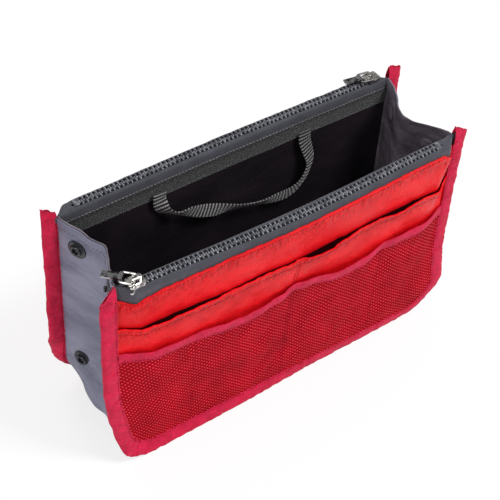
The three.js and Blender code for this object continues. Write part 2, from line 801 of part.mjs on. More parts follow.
// One half of the base, hinged on the back panel's lower seam
function baseHalf(name) {
  const group = new THREE.Group();
  const cloth = flapPly(-baseFlapHalf, baseFlapHalf, [], -clothThickness, 0);
  const lining = flapPly(-baseFlapHalf, baseFlapHalf, [], -liningFar, -liningNear);
  group.add(piece(`${name}_cloth`, cloth, 'greyNylon'));
  group.add(piece(`${name}_lining`, lining, 'blackLining'));
  const along = new THREE.Vector3(0, -Math.cos(gussetRestAngle), Math.sin(gussetRestAngle));
  const sideways = new THREE.Vector3(1, 0, 0);
  const through = sideways.clone().cross(along);
  group.quaternion.setFromRotationMatrix(new THREE.Matrix4().makeBasis(along, through, sideways));
  group.position.set(0, panelSpacing / 2, seamBase);
  return group;
}

// The same group turned half a turn about the vertical
function turned(group) {
  const holder = new THREE.Group();
  holder.rotation.z = Math.PI;
  holder.add(group);
  return holder;
}

function placedPanel(side, leftName, rightName) {
  const group = panel(side, leftName, rightName);
  group.position.y = -panelSpacing / 2;
  return group;
}

const organizer = new THREE.Group();
organizer.add(placedPanel('front', 'left', 'right'));
organizer.add(turned(placedPanel('back', 'right', 'left')));
organizer.add(sideGusset('left', 'front', 'back'));
organizer.add(turned(sideGusset('right', 'back', 'front')));
organizer.add(baseHalf('base_back'));
organizer.add(turned(baseHalf('base_front')));

export default organizer;
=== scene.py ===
"""A purse organiser insert: two zipped pocket panels joined by a folding gusset.

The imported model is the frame. Each sub-assembly below is a class that works out its surfaces as
whole arrays, in millimetres, and dresses them with a finish of its own. A panel's own axes are s
along it, w outwards from the gusset's seam and z up; Side.place turns them into the shared frame.
"""

import logging
import math
from collections.abc import Callable
from dataclasses import dataclass
from enum import Enum
from functools import cache

import bpy
import numpy as np
from mathutils import Matrix


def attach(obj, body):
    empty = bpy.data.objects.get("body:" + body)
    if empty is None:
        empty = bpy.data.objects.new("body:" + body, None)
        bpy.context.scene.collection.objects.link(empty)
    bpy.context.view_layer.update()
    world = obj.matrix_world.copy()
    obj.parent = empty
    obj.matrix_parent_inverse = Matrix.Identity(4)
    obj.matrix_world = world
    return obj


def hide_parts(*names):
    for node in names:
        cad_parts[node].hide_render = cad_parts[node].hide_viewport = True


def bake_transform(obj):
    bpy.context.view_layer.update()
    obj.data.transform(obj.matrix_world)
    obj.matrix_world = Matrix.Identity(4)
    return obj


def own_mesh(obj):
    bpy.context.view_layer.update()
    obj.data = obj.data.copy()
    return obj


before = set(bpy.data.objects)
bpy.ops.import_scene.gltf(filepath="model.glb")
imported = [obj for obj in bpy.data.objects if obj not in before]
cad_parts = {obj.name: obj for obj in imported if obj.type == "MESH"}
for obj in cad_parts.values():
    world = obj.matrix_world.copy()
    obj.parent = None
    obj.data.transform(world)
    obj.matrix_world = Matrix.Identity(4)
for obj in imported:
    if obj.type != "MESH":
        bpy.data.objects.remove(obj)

MM = 0.001
LOG = logging.getLogger("insert")
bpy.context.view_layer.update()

Array = np.ndarray
Colour = tuple[float, float, float, float]
Triple = tuple[float, float, float]
Line = Callable[[Array], Array]
Surface = Callable[[Array, Array], Array]

# Shared lengths, in millimetres: the seam line, the bound edge's middle and the zip's height
SEAM_X, SEAM_Y, SEAM_Z = 129.0, 31.0, 11.0
SEAM_RADIUS, CORNER_X, CORNER_Z = 25.0, 104.0, 36.0
EDGE_MIDDLE = 3.85
CHAIN_Z = 172.0
TOP_TO_CORNER = CHAIN_Z - CORNER_Z
RIB_PITCH = 2.8

UP = np.array([0.0, 0.0, 1.0])
QUARTER = np.pi / 2.0


# Numbers


def smooth(t: Array | float) -> Array:
    """The smooth step 3t^2 - 2t^3, with t held between 0 and 1."""
    t = np.clip(t, 0.0, 1.0)
    return t * t * (3.0 - 2.0 * t)


def eased(x: Array, knots: tuple[float, ...], values: tuple[float, ...]) -> Array:
    """A curve through given points that is level at each of them.

    Args:
        x: Where the curve is wanted.
        knots: The points' places, rising.
        values: The points' heights.

    Returns:
        The height at each x: v0 + (v1 - v0) smooth((x - k0) / (k1 - k0)) between two points.
    """
    knots, values, x = (np.asarray(a, float) for a in (knots, values, x))
    i = np.clip(np.searchsorted(knots, x) - 1, 0, len(knots) - 2)
    t = (x - knots[i]) / (knots[i + 1] - knots[i])
    return values[i] + (values[i + 1] - values[i]) * smooth(t)


def noise(x: Array, y: Array, seed: int, size: int = 64) -> Array:
    """Smooth random hills: random heights on a square lattice, eased between its corners.

    Args:
        x: First coordinate, in lattice steps.
        y: Second coordinate, in lattice steps.
        seed: Picks the heights.
        size: Steps after which the heights repeat.

    Returns:
        Heights from -1 to 1, one for each point.
    """
    heights = np.random.default_rng(seed).uniform(-1.0, 1.0, (size, size))
    x, y = np.broadcast_arrays(np.asarray(x, float), np.asarray(y, float))
    i, j = np.floor(x).astype(int), np.floor(y).astype(int)
    u, v = smooth(x - i), smooth(y - j)
    i0, i1, j0, j1 = i % size, (i + 1) % size, j % size, (j + 1) % size
    low = heights[i0, j0] * (1 - u) + heights[i1, j0] * u
    high = heights[i0, j1] * (1 - u) + heights[i1, j1] * u
    return low * (1 - v) + high * v


def drift(x: Array, hill: float, seed: int, row: float = 0.0) -> Array:
    """Noise along one coordinate, with hills of that length."""
    return noise(x / hill, 0.0 * x + row, seed)


def unit(v: Array) -> Array:
    """Each vector of the last axis divided by its length."""
    return v / np.maximum(np.linalg.norm(v, axis=-1, keepdims=True), 1e-12)


def stacked(*parts: Array) -> Array:
    """Arrays that fit each other, as the last axis of one."""
    return np.stack(np.broadcast_arrays(*parts), -1)


def circle(steps: int) -> Array:
    """Angles evenly spaced round a circle, from 0."""
    return np.linspace(0.0, 2.0 * np.pi, steps, endpoint=False)


def rounded(value: Array, power: float) -> Array:
    """The size of each value raised to a power, with its sign kept."""
    return np.sign(value) * np.abs(value) ** power


def run_length(points: Array, axis: int = 0) -> Array:
    """The distance along a line or grid of points, from 0 at its start."""
    step = np.linalg.norm(np.diff(points, axis=axis), axis=-1)
    start = np.zeros_like(np.take(step, [0], axis=axis))
    return np.concatenate([start, np.cumsum(step, axis=axis)], axis=axis)


def screen(*values: float) -> Colour:
    """A colour given in screen values from 0 to 255, as the light they stand for."""
    shares = (value / 255.0 for value in values)
    return (*(v / 12.92 if v <= 0.04045 else ((v + 0.055) / 1.055) ** 2.4 for v in shares), 1.0)


# Forms


@dataclass(frozen=True)
class Form:
    """Closed faces: points in millimetres, four-sided and three-sided faces, and a flat map."""

    points: Array
    quads: Array
    tris: Array
    uv: Array


def grid_faces(nu: int, nv: int, first: int, ring: bool = False) -> Array:
    """The four-sided faces of a grid of points numbered row by row.

    Args:
        nu: Number of rows.
        nv: Number of points in a row.
        first: Number of the grid's first point.
        ring: Whether a row's last point joins its first.

    Returns:
        The corners of each face.
    """
    i = np.arange(nu - 1)[:, None]
    j = np.arange(nv if ring else nv - 1)[None, :]
    j2 = (j + 1) % nv
    corners = [i * nv + j, (i + 1) * nv + j, (i + 1) * nv + j2, i * nv + j2]
    return np.stack(corners, -1).reshape(-1, 4) + first


def skin(outer: Array, inner: Array, uv: Array) -> Form:
    """Cloth between two grids of points, closed by a rim round its four edges.

    Args:
        outer: One face's points, rows by columns by 3.
        inner: The other face's points.
        uv: Flat place of each point, in millimetres.

    Returns:
        The closed form.
    """
    nu, nv = outer.shape[:2]
    count = nu * nv
    number = np.arange(count).reshape(nu, nv)
    edge = np.concatenate([number[0, :-1], number[:-1, -1], number[-1, :0:-1], number[:0:-1, 0]])
    after = np.roll(edge, -1)
    rim = np.stack([edge, after, after + count, edge + count], -1)
    quads = np.concatenate([grid_faces(nu, nv, 0), grid_faces(nu, nv, count)[:, ::-1], rim])
    points = np.concatenate([outer.reshape(-1, 3), inner.reshape(-1, 3)])
    flat = uv.reshape(-1, 2)
    return Form(points, quads, np.zeros((0, 3), int), np.concatenate([flat, flat]))


def tube(rings: Array) -> Form:
    """A solid through rings of points, closed at both ends by a fan of faces.

    Args:
        rings: Rings by points by 3.

    Returns:
        The closed form. Its map runs along the rings and round them.
    """
    nu, nv = rings.shape[:2]
    along = run_length(rings.mean(1))[:, None]
    around = run_length(np.concatenate([rings, rings[:, :1]], 1), 1)[:, :-1]
    ends = np.stack([rings[0].mean(0), rings[-1].mean(0)])
    first, last = nu * nv, nu * nv + 1
    j = np.arange(nv)
    j2 = (j + 1) % nv
    start = np.stack([np.full(nv, first), j, j2], -1)
    stop = np.stack([np.full(nv, last), (nu - 1) * nv + j2, (nu - 1) * nv + j], -1)
    uv = stacked(along, around).reshape(-1, 2)
    return Form(
        np.concatenate([rings.reshape(-1, 3), ends]),
        grid_faces(nu, nv, 0, ring=True),
        np.concatenate([start, stop]),
        np.concatenate([uv, [[0.0, 0.0], [along[-1, 0], 0.0]]]),
    )


def lathe(profile: tuple[tuple[float, float], ...], centre: Array, axis: Array, steps: int = 32) -> Form:
    """A profile of radius and height turned about a level axis.

    Args:
        profile: Radius and height of each point, from one pole to the other.
        centre: Where the height is 0.
        axis: Unit vector of the height, square to up.
        steps: Points round.

    Returns:
        The closed form: centre + axis h + r (up cos a + (axis x up) sin a).
    """
    turn = circle(steps)[:, None]
    spoke = np.cos(turn) * UP + np.sin(turn) * np.cross(axis, UP)
    radius, height = np.array(profile).T[:, :, None, None]
    return tube(centre + height * axis + radius * spoke[None])


def copies(template: Form, origins: Array, turns: Array) -> Form:
    """The same small form put down many times.

    Args:
        template: The form, about its own origin.
        origins: One place for each copy.
        turns: One 3 by 3 matrix for each copy, whose columns are the template's axes.

    Returns:
        All copies as one form: origin + turn point.
    """
    n = len(origins)
    points = origins[:, None, :] + np.einsum("nij,mj->nmi", turns, template.points)
    shift = (np.arange(n) * len(template.points))[:, None, None]
    quads, tris = (template.quads[None] + shift).reshape(-1, 4), (template.tris[None] + shift).reshape(-1, 3)
    return Form(points.reshape(-1, 3), quads, tris, np.tile(template.uv, (n, 1)))


def joined(*forms: Form) -> Form:
    """Several forms as one."""
    starts = np.cumsum([0] + [len(f.points) for f in forms[:-1]])
    return Form(
        np.concatenate([f.points for f in forms]),
        np.concatenate([f.quads + s for f, s in zip(forms, starts)]),
        np.concatenate([f.tris + s for f, s in zip(forms, starts)]),
        np.concatenate([f.uv for f in forms]),
    )


def stitches(line: Array, normal: Array, pitch: float = 2.6, radius: float = 0.22) -> Form:
    """A row of stitches along a line that lies on cloth.

    Args:
        line: Points by 3.
        normal: The cloth's direction outwards, one vector.
        pitch: From one stitch to the next.
        radius: Half the thread's thickness.

    Returns:
        The stitches as one form. Each is a short bar of six sides that is thinner at its ends,
        which dip into the cloth.
    """
    along = run_length(line)
    count = max(2, int(along[-1] / pitch))
    where = (np.arange(count) + 0.5) * along[-1] / count
    probe = 0.3
    at, ahead, behind = (
        np.stack([np.interp(where + step, along, line[:, k]) for k in range(3)], -1)
        for step in (0.0, probe, -probe)
    )
    tangent = unit(unit(ahead - behind))
    across = unit(np.cross(np.broadcast_to(normal, at.shape), tangent))
    turns = np.stack([tangent, across, np.cross(tangent, across)], -1)
    turn = circle(6)
    x = np.array([-0.5, -0.36, 0.36, 0.5])[:, None] * (pitch * 0.72)
    size = np.array([0.35, 1.0, 1.0, 0.35])[:, None] * radius
    low = np.array([-0.6, 0.0, 0.0, -0.6])[:, None] * radius
    return copies(tube(stacked(x, size * np.cos(turn), size * np.sin(turn) + low)), at, turns)


# Materials


class Graph:
    """A material's or a world's nodes, put together one call at a time."""

    def __init__(self, owner: bpy.types.ID, kind: str) -> None:
        """Empties the owner's nodes and adds the output node of that kind."""
        owner.use_nodes = True
        self.owner, self.tree = owner, owner.node_tree
        self.tree.nodes.clear()
        self.out = self.tree.nodes.new(kind)

    def surface(self, shader: object) -> None:
        """Links a shader to the output."""
        self.tree.links.new(shader, self.out.inputs["Surface"])

    def node(self, kind: str, values: dict[str | int, object], out: str | int = 0, **settings: str) -> object:
        """Adds a node.

        Args:
            kind: Its type, without the words ShaderNode.
            values: For some of its inputs, a plain value or another node's output.
            out: The output that is wanted.
            settings: The node's own options.

        Returns:
            The output socket.
        """
        node = self.tree.nodes.new("ShaderNode" + kind)
        for key, value in settings.items():
            setattr(node, key, value)
        for key, value in values.items():
            if isinstance(value, bpy.types.NodeSocket):
                self.tree.links.new(value, node.inputs[key])
            else:
                node.inputs[key].default_value = value
        return node.outputs[out]

    def place(self, flat: bool, scale: Triple = (1, 1, 1)) -> object:
        """A place on the piece in metres times scale: on its own map if flat, else in the frame."""
        source = self.node("TexCoord", {}, "UV" if flat else "Object")
        return self.node("Mapping", {"Scale": scale, "Vector": source}, "Vector")

    def math(self, kind: str, *values: object) -> object:
        """A Math node of that kind on up to three values."""
        return self.node("Math", dict(enumerate(values)), operation=kind)

    def times(self, a: object, b: object) -> object:
        """One value times the other."""
        return self.math("MULTIPLY", a, b)

    def total(self, first: tuple[object, object], *others: tuple[object, object]) -> object:
        """Values times their shares, added up."""
        value = self.times(*first)
        for other in others:
            value = self.math("ADD", value, self.times(*other))
        return value

    def dimmed(self, value: object, share: float) -> object:
        """Brings 0..1 to 1 - share..1."""
        return self.math("MULTIPLY_ADD", value, share, 1.0 - share)

    def dot(self, vector: object, by: Triple) -> object:
        """The vector's share along a fixed direction."""
        return self.node("VectorMath", {0: vector, 1: by}, "Value", operation="DOT_PRODUCT")

    def wave(self, vector: object, direction: tuple[float, float], pitch: float) -> object:
        """A ripple of that pitch in metres along a direction of the map, from 0 to 1."""
        along = self.dot(vector, (*(2.0 * math.pi * d / pitch for d in direction), 0.0))
        return self.dimmed(self.math("SINE", along), 0.5)

    def noise(self, vector: object, size: float, detail: float = 2.0, rough: float = 0.5) -> object:
        """Cloudy values from about 0.25 to 0.75 whose hills are size metres across."""
        values = {"Vector": vector, "Scale": 1.0 / size, "Detail": detail, "Roughness": rough}
        return self.node("TexNoise", values, "Fac")

    def spread(self, value: object, low: float, high: float, to_low: float = 0.0, to_high: float = 1.0) -> object:
        """Stretches low..high to to_low..to_high, and holds what lies outside."""
        ends = {"From Min": low, "From Max": high, "To Min": to_low, "To Max": to_high}
        return self.node("MapRange", {"Value": value, **ends})

    def mix(self, share: object, a: object, b: object) -> object:
        """Colour a where share is 0 and colour b where it is 1."""
        return self.node("Mix", {"Factor": share, 6: a, 7: b}, 2, data_type="RGBA")

    def bump(self, height: object, depth: float, strength: float = 1.0, under: object = None) -> object:
        """A surface roughened by a height from 0 to 1 that stands for depth metres."""
        values = {"Strength": strength, "Distance": depth, "Height": height}
        return self.node("Bump", values if under is None else {**values, "Normal": under}, "Normal")

    def shader(self, colour: object, roughness: object, normal: object = None, sheen: float = 0.0,
               sheen_roughness: float = 0.5, specular: float = 0.5, metallic: float = 0.0) -> object:
        """A finish's one surface shader."""
        values = {"Base Color": colour, "Roughness": roughness, "Metallic": metallic, "Sheen Weight": sheen,
                  "Sheen Roughness": sheen_roughness, "Specular IOR Level": specular}
        return self.node("BsdfPrincipled", values if normal is None else {**values, "Normal": normal})


@dataclass(frozen=True)
class Finish:
    """What every finish has: a name, two tones and a way to paint them."""

    name: str
    light: Colour
    dark: Colour

    def material(self) -> bpy.types.Material:
        """A new material with this finish."""
        g = Graph(bpy.data.materials.new(self.name), "ShaderNodeOutputMaterial")
        g.surface(self.paint(g))
        return g.owner

    def paint(self, g: Graph) -> object:
        """Builds the finish's nodes and gives its shader."""
        raise NotImplementedError


@dataclass(frozen=True)
class WovenNylon(Finish):
    """Plain woven nylon: fine threads both ways, soft cloudy tone, crinkles, and painted shade where asked."""

    roughness: float
    specular: float
    thread: float
    crinkle: float
    crinkle_size: Triple
    crinkle_hill: float
    # The inside colour is painted shade: the dark of the slot behind a pocket's mouth, laid below the top height that
    # follows.
    inside: Colour | None = None
    shade_top: float = 0.1352
    gathers: float = 0.0
    # fold: the painted shade colour laid in the gathers' valleys.
    fold: Colour = screen(150, 2, 12)

    def paint(self, g: Graph) -> object:
        """Two thread waves, tone from clouds, crinkles as bump.

        Where an inside colour is given, the cloth below the given top is painted that dark colour
        as the shade in the slot behind a pocket's mouth. Where gathers are given, the 12 mm below
        the hem have small folds of that depth, with painted shade in their valleys: the map's
        second axis is the height from the hem.
        """
        place = g.place(flat=True)
        body = g.place(False, self.crinkle_size)
        weave = g.times(g.wave(place, (1.0, 0.0), self.thread), g.wave(place, (0.0, 1.0), self.thread))
        cloud = g.spread(g.noise(body, 0.022, 3.0), 0.3, 0.7)
        colour = g.mix(g.total((cloud, 0.75), (weave, 0.25)), self.dark, self.light)
        # Painted shade: below the top height the cloth takes the dark inside colour, as the slot behind the slip
        # pocket's mouth.
        if self.inside is not None:
            height = g.dot(g.place(flat=False), (0.0, 0.0, 1.0))
            below = g.spread(height, self.shade_top, self.shade_top + 0.0008, 1.0, 0.0)
            colour = g.mix(below, colour, self.inside)
        crinkles = g.noise(body, self.crinkle_hill, 4.0, 0.55)
        under = None
        if self.gathers:
            down = g.dot(place, (0.0, 1.0, 0.0))
            band = g.times(g.spread(down, -0.013, -0.006), g.spread(down, -0.0025, -0.0005, 1.0, 0.25))
            folds = g.spread(g.noise(g.place(True, (1.0, 0.28, 1.0)), 0.0026), 0.36, 0.66)
            under = g.bump(g.times(folds, band), self.gathers)
            # Painted shade: the gathers' valleys in the band are darkened towards the fold colour.
            shaded = g.times(band, g.spread(folds, 0.0, 0.5, 0.55, 0.0))
            colour = g.mix(shaded, colour, self.fold)
        rough = g.spread(cloud, 0.0, 1.0, self.roughness + 0.06, self.roughness - 0.04)
        normal = g.bump(weave, 0.00006, 0.6, g.bump(crinkles, self.crinkle, 1.0, under))
        return g.shader(colour, rough, normal, sheen_roughness=0.4, specular=self.specular)


@dataclass(frozen=True)
class RibbedTape(Finish):
    """Ribbed polyester tape: cross ribs along its map, a fuzzy sheen and darker creases."""

    rib: float = 0.0009

    def paint(self, g: Graph) -> object:
        """Ribs across the tape, clouds of wear, fuzz as bump."""
        place, body = g.place(flat=True), g.place(flat=False)
        ribs = g.wave(place, (1.0, 0.0), self.rib)
        threads = g.wave(place, (0.0, 1.0), self.rib * 0.7)
        cloud = g.spread(g.noise(body, 0.008, 4.0, 0.6), 0.3, 0.7)
        worn = g.spread(g.noise(body, 0.0014, 3.0, 0.6), 0.3, 0.7)
        colour = g.mix(g.total((cloud, 0.35), (ribs, 0.3), (worn, 0.35)), self.dark, self.light)
        fuzz = g.bump(g.noise(body, 0.0009), 0.0003)
        normal = g.bump(g.total((ribs, 0.6), (threads, 0.2)), 0.00018, 0.9, fuzz)
        return g.shader(colour, 0.78, normal, sheen=0.06, specular=0.12)


@dataclass(frozen=True)
class MeshCloth(Finish):
    """Knitted mesh over red cloth: lit strands round six-sided holes set in slanting rows; the holes' dark colour is
    painted shade on the cloth behind.
    """

    # The hole colour is painted shade: the dark of the cloth seen through the holes.
    hole_shade: Colour
    pitch: float = 0.0022

    def paint(self, g: Graph) -> object:
        """Two crossed waves light the strands' crowns between the holes."""
        place = g.place(flat=True)
        rows = g.wave(place, (0.707, 0.707), self.pitch)
        crowns = g.times(rows, g.wave(place, (0.616, -0.788), self.pitch * 1.35))
        cloud = g.spread(g.noise(g.place(flat=False), 0.02, 3.0, 0.6), 0.22, 0.74)
        lit = g.spread(crowns, 0.34, 0.72)
        share = g.times(lit, g.dimmed(cloud, 0.4))
        # Painted light and shade: lit crowns go to the light colour, and between them the holes' painted shade mixes
        # the hole colour with the dark one.
        colour = g.mix(share, g.mix(cloud, self.hole_shade, self.dark), self.light)
        rough = g.spread(lit, 0.0, 1.0, 0.8, 0.5)
        return g.shader(colour, rough, g.bump(crowns, 0.0004), specular=0.05)


@dataclass(frozen=True)
class Herringbone(Finish):
    """Zip tape: close slanting ribs that turn at the middle of each band."""

    def paint(self, g: Graph) -> object:
        """Slanting waves, and a matt grey of two tones."""
        place = g.place(flat=True)
        rise, fall = (g.wave(place, (0.8, way), 0.0011) for way in (0.6, -0.6))
        band = g.math("GREATER_THAN", g.wave(place, (0.0, 1.0), 0.006), 0.5)
        ribs = g.total((rise, band), (fall, g.math("SUBTRACT", 1.0, band)))
        cloud = g.spread(g.noise(g.place(flat=False), 0.012, 3.0), 0.3, 0.7)
        colour = g.mix(g.total((ribs, 0.5), (cloud, 0.5)), self.dark, self.light)
        return g.shader(colour, 0.72, g.bump(ribs, 0.00014, 0.9), sheen=0.2, specular=0.35)


@dataclass(frozen=True)
class Heather(Finish):
    """A band of mixed light and dark yarns, in short flecks along it."""

    def paint(self, g: Graph) -> object:
        """Stretched flecks, thread ribs and a fuzzy bump."""
        flecks = g.spread(g.noise(g.place(True, (0.7, 1.4, 1.0)), 0.0011, 2.0, 0.6), 0.48, 0.66)
        ribs = g.wave(g.place(flat=True), (0.7, 0.7), 0.0013)
        colour = g.mix(g.times(flecks, g.dimmed(ribs, 0.5)), self.dark, self.light)
        normal = g.bump(g.math("ADD", flecks, ribs), 0.0002, 0.8)
        return g.shader(colour, 0.85, normal, sheen=0.3, specular=0.25)


@dataclass(frozen=True)
class Webbing(Finish):
    """Handle webbing: dark cross ribs with lighter yarn showing on their tops."""

    def paint(self, g: Graph) -> object:
        """The rib wave picks the yarn's colour and the bump."""
        place = g.place(flat=True)
        ribs = g.wave(place, (1.0, 0.0), RIB_PITCH * MM)
        yarn = g.wave(place, (0.0, 1.0), 0.0016)
        worn = g.spread(g.noise(g.place(flat=False), 0.0012, 3.0), 0.3, 0.7)
        top = g.times(g.spread(ribs, 0.5, 0.8), g.dimmed(worn, 0.3))
        colour = g.mix(g.times(top, g.dimmed(yarn, 0.4)), self.dark, self.light)
        normal = g.bump(g.math("MULTIPLY_ADD", yarn, 0.4, ribs), 0.00025)
        return g.shader(colour, 0.7, normal, sheen=0.2, specular=0.35)


@dataclass(frozen=True)
class Moulded(Finish):
    """Moulded plastic with a faint grain and rubbed lighter spots."""

    roughness: float

    def paint(self, g: Graph) -> object:
        """Clouds for the rubbed spots, grain as bump."""
        body = g.place(flat=False)
        cloud = g.spread(g.noise(body, 0.003, 3.0), 0.35, 0.65)
        rough = g.spread(cloud, 0.0, 1.0, self.roughness + 0.1, self.roughness)
        return g.shader(g.mix(cloud, self.dark, self.light), rough, g.bump(g.noise(body, 0.0012), 0.00005, 0.6))


@dataclass(frozen=True)
class Plated(Finish):
    """Bright plated metal with fine rubbing marks and duller spots."""

    def paint(self, g: Graph) -> object:
        """Full metal, with clouds that dull it a little."""
        cloud = g.spread(g.noise(g.place(flat=False), 0.003), 0.45, 0.62)
        marks = g.noise(g.place(False, (1.0, 6.0, 1.0)), 0.0009, 3.0)
        colour, rough = g.mix(cloud, self.light, self.dark), g.spread(cloud, 0.0, 1.0, 0.1, 0.2)
        return g.shader(colour, rough, g.bump(marks, 0.000004, 0.3), metallic=1.0)


@dataclass(frozen=True)
class Thread(Finish):
    """Sewing thread: a twist of two plies along the stitch."""

    def paint(self, g: Graph) -> object:
        """A slanting twist wave in two tones."""
        twist = g.wave(g.place(flat=True), (0.8, 0.6), 0.0005)
        worn = g.spread(g.noise(g.place(flat=False), 0.004), 0.35, 0.65)
        colour = g.mix(g.total((twist, 0.5), (worn, 0.5)), self.dark, self.light)
        return g.shader(colour, 0.7, g.bump(twist, 0.00006, 0.8), specular=0.12)


RED = (screen(252, 30, 38), screen(216, 6, 20), 0.36, 0.14, 0.00042, 0.0022, (1.0, 1.0, 0.8), 0.011)
FINISHES = {finish.name: finish for finish in (
    WovenNylon("red_satin_nylon", *RED, gathers=0.0012),
    # The pocket wall's inside colour is painted shade for the slot behind the slip pocket's mouth.
    WovenNylon("red_satin_pocket_wall", *RED, inside=screen(46, 10, 14), gathers=0.0012),
    WovenNylon("grey_nylon", screen(150, 152, 174), screen(108, 110, 130), 0.4, 0.3,
               0.0005, 0.0024, (0.5, 0.5, 1.6), 0.006),
    WovenNylon("black_lining", screen(40, 33, 40), screen(20, 16, 21), 0.45, 0.4,
               0.00045, 0.0008, (0.6, 0.6, 1.0), 0.012),
    WovenNylon("dark_gusset_lining", screen(138, 128, 140), screen(66, 60, 68), 0.36, 0.5,
               0.00045, 0.0024, (0.8, 0.8, 1.0), 0.012),
    RibbedTape("crimson_tape", screen(246, 40, 90), screen(150, 0, 30)),
    MeshCloth("red_mesh", screen(255, 66, 90), screen(172, 0, 20), screen(134, 0, 12)),
    Herringbone("zip_tape_weave", screen(74, 74, 84), screen(46, 46, 55)),
    Moulded("zip_teeth_plastic", screen(140, 141, 148), screen(74, 75, 82), 0.3),
    Moulded("snap_plastic_dark", screen(32, 34, 42), screen(11, 12, 16), 0.22),
    Heather("heather_band", screen(50, 52, 52), screen(3, 4, 5)),
    Webbing("handle_webbing", screen(176, 172, 174), screen(8, 7, 9)),
    Plated("chrome_plate", screen(226, 224, 220), screen(128, 126, 124)),
    Plated("dark_steel", screen(168, 168, 170), screen(52, 52, 56)),
    Thread("red_thread", screen(196, 12, 28), screen(122, 0, 10)),
    Thread("crimson_thread", screen(178, 10, 44), screen(104, 0, 20)),
    Thread("grey_thread", screen(150, 150, 156), screen(96, 96, 104)),
    Thread("dark_thread", screen(30, 30, 35), screen(12, 12, 15)),
)}


@cache
def finished(name: str) -> bpy.types.Material:
    """The material of a finish, made when it is first asked for."""
    return FINISHES[name].material()


# Pieces


@dataclass(frozen=True)
class Slump:
    """A soft push on all cloth near one place: shift times exp(-sum(((p - centre) / reach)^2))."""

    centre: Triple
    reach: Triple
    shift: Triple

    def push(self, points: Array) -> Array:
        """How far each point moves."""
        off = (points - np.array(self.centre)) / np.array(self.reach)
        return np.exp(-(off**2).sum(-1))[..., None] * np.array(self.shift)


SLUMPS = (
    Slump((-138.0, -37.0, 24.0), (40.0, 22.0, 34.0), (8.0, 0.0, 0.0)),
    Slump((-131.0, -37.0, 8.0), (14.0, 22.0, 12.0), (-3.0, 0.0, -1.4)),
    Slump((134.0, -37.0, 16.0), (44.0, 22.0, 36.0), (6.5, 0.0, 0.0)),
    Slump((-135.0, 36.0, 0.0), (50.0, 28.0, 38.0), (2.0, 5.0, 7.0)),
)


@dataclass(frozen=True)
class TurnedFlange:
    """The back panel's bound edge folded backwards at its lower corner on the left."""

    middle: float = SEAM_Y + EDGE_MIDDLE
    panel_y: float = 30.0
    angle: float = 1.2
    top: float = 70.0
    fade: float = 36.0
    end_x: float = -86.0

    def bend(self, points: Array) -> Array:
        """Turns what lies beyond the seam about the seam.

        Args:
            points: N by 3, of which those with y above panel_y belong to the panel.

        Returns:
            The points. With r the distance beyond the seam and v = y - middle, the new ones
            are r cos a - v sin a and r sin a + v cos a, and a grows from 0 at the seam and
            fades out upwards and along the base.
        """
        x, y, z = points.T
        run, drop = np.maximum(-CORNER_X - x, 0.0), np.maximum(CORNER_Z - z, 0.0)
        far = np.hypot(run, drop)
        r = far - SEAM_RADIUS
        fading = smooth((self.top - z) / self.fade) * smooth((self.end_x - x) / 16.0)
        a = self.angle * fading * smooth(r / 3.0)
        v = y - self.middle
        turned = r * np.cos(a) - v * np.sin(a)
        share = np.where(far > 0.0, (turned - r) / np.maximum(far, 1.0), 0.0)
        new = np.stack([x - run * share, self.middle + r * np.sin(a) + v * np.cos(a), z - drop * share], -1)
        return np.where(((y > self.panel_y) & (r > 0.0) & (x < self.end_x))[:, None], new, points)


def settled(points: Array) -> Array:
    """The points after the turned flange and every slump's push, kept above the floor.

    Args:
        points: N by 3.

    Returns:
        The moved points. A height z below 1 becomes exp(z - 1), so that layers keep their order.
    """
    points = TurnedFlange().bend(points)
    moved = points + sum(slump.push(points) for slump in SLUMPS)
    height = moved[..., 2]
    height = np.where(height < 1.0, np.exp(np.minimum(height, 1.0) - 1.0), height)
    return np.stack([moved[..., 0], moved[..., 1], height], -1)


def make(name: str, form: Form, finish: str, body: str | None, slot: str, replaces: tuple[str, ...] = (),
         sharp: float = 40.0, give: float | Array = 1.0) -> bpy.types.Object:
    """Puts a form into the scene as one piece, with its faces turned outwards.

    Args:
        name: The piece's name.
        form: Its closed faces, in millimetres.
        finish: The name of its finish.
        body: The body it rides on, or none where it is blended later.
        slot: The record's material slot; not used.
        replaces: The nodes it stands for.
        sharp: The angle in degrees from which an edge stays crisp.
        give: How much of the settling the piece takes, from 0 to 1, or a column of each point's share.

    Returns:
        The new object. The faces are turned round if the volume, the sum of a . (b x c) / 6
        over all triangles, is below 0.
    """
    p = form.points + give * (settled(form.points) - form.points)
    parts = np.concatenate([form.quads[:, [0, 1, 2]], form.quads[:, [0, 2, 3]], form.tris])
    a, b, c = p[parts[:, 0]], p[parts[:, 1]], p[parts[:, 2]]
    volume = float((a * np.cross(b, c)).sum()) / 6.0
    way = 1 if volume > 0 else -1
    mesh = bpy.data.meshes.new(name)
    mesh.from_pydata((p * MM).tolist(), [], form.quads[:, ::way].tolist() + form.tris[:, ::way].tolist())
    corner = np.zeros(len(mesh.loops), np.int32)
    mesh.loops.foreach_get("vertex_index", corner)
    flat = mesh.uv_layers.new(name="flat")
    flat.data.foreach_set("uv", (form.uv[corner] * MM).astype(np.float32).ravel())
    mesh.shade_smooth()
    mesh.set_sharp_from_angle(angle=math.radians(sharp))
    mesh.materials.append(finished(finish))
    piece = bpy.data.objects.new(name, mesh)
    bpy.context.scene.collection.objects.link(piece)
    if body:
        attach(piece, body)
    if replaces:
        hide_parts(*replaces)
    LOG.info("%s: %d faces, %.1f cubic mm, on %s", name, len(mesh.polygons), abs(volume), body)
    return piece


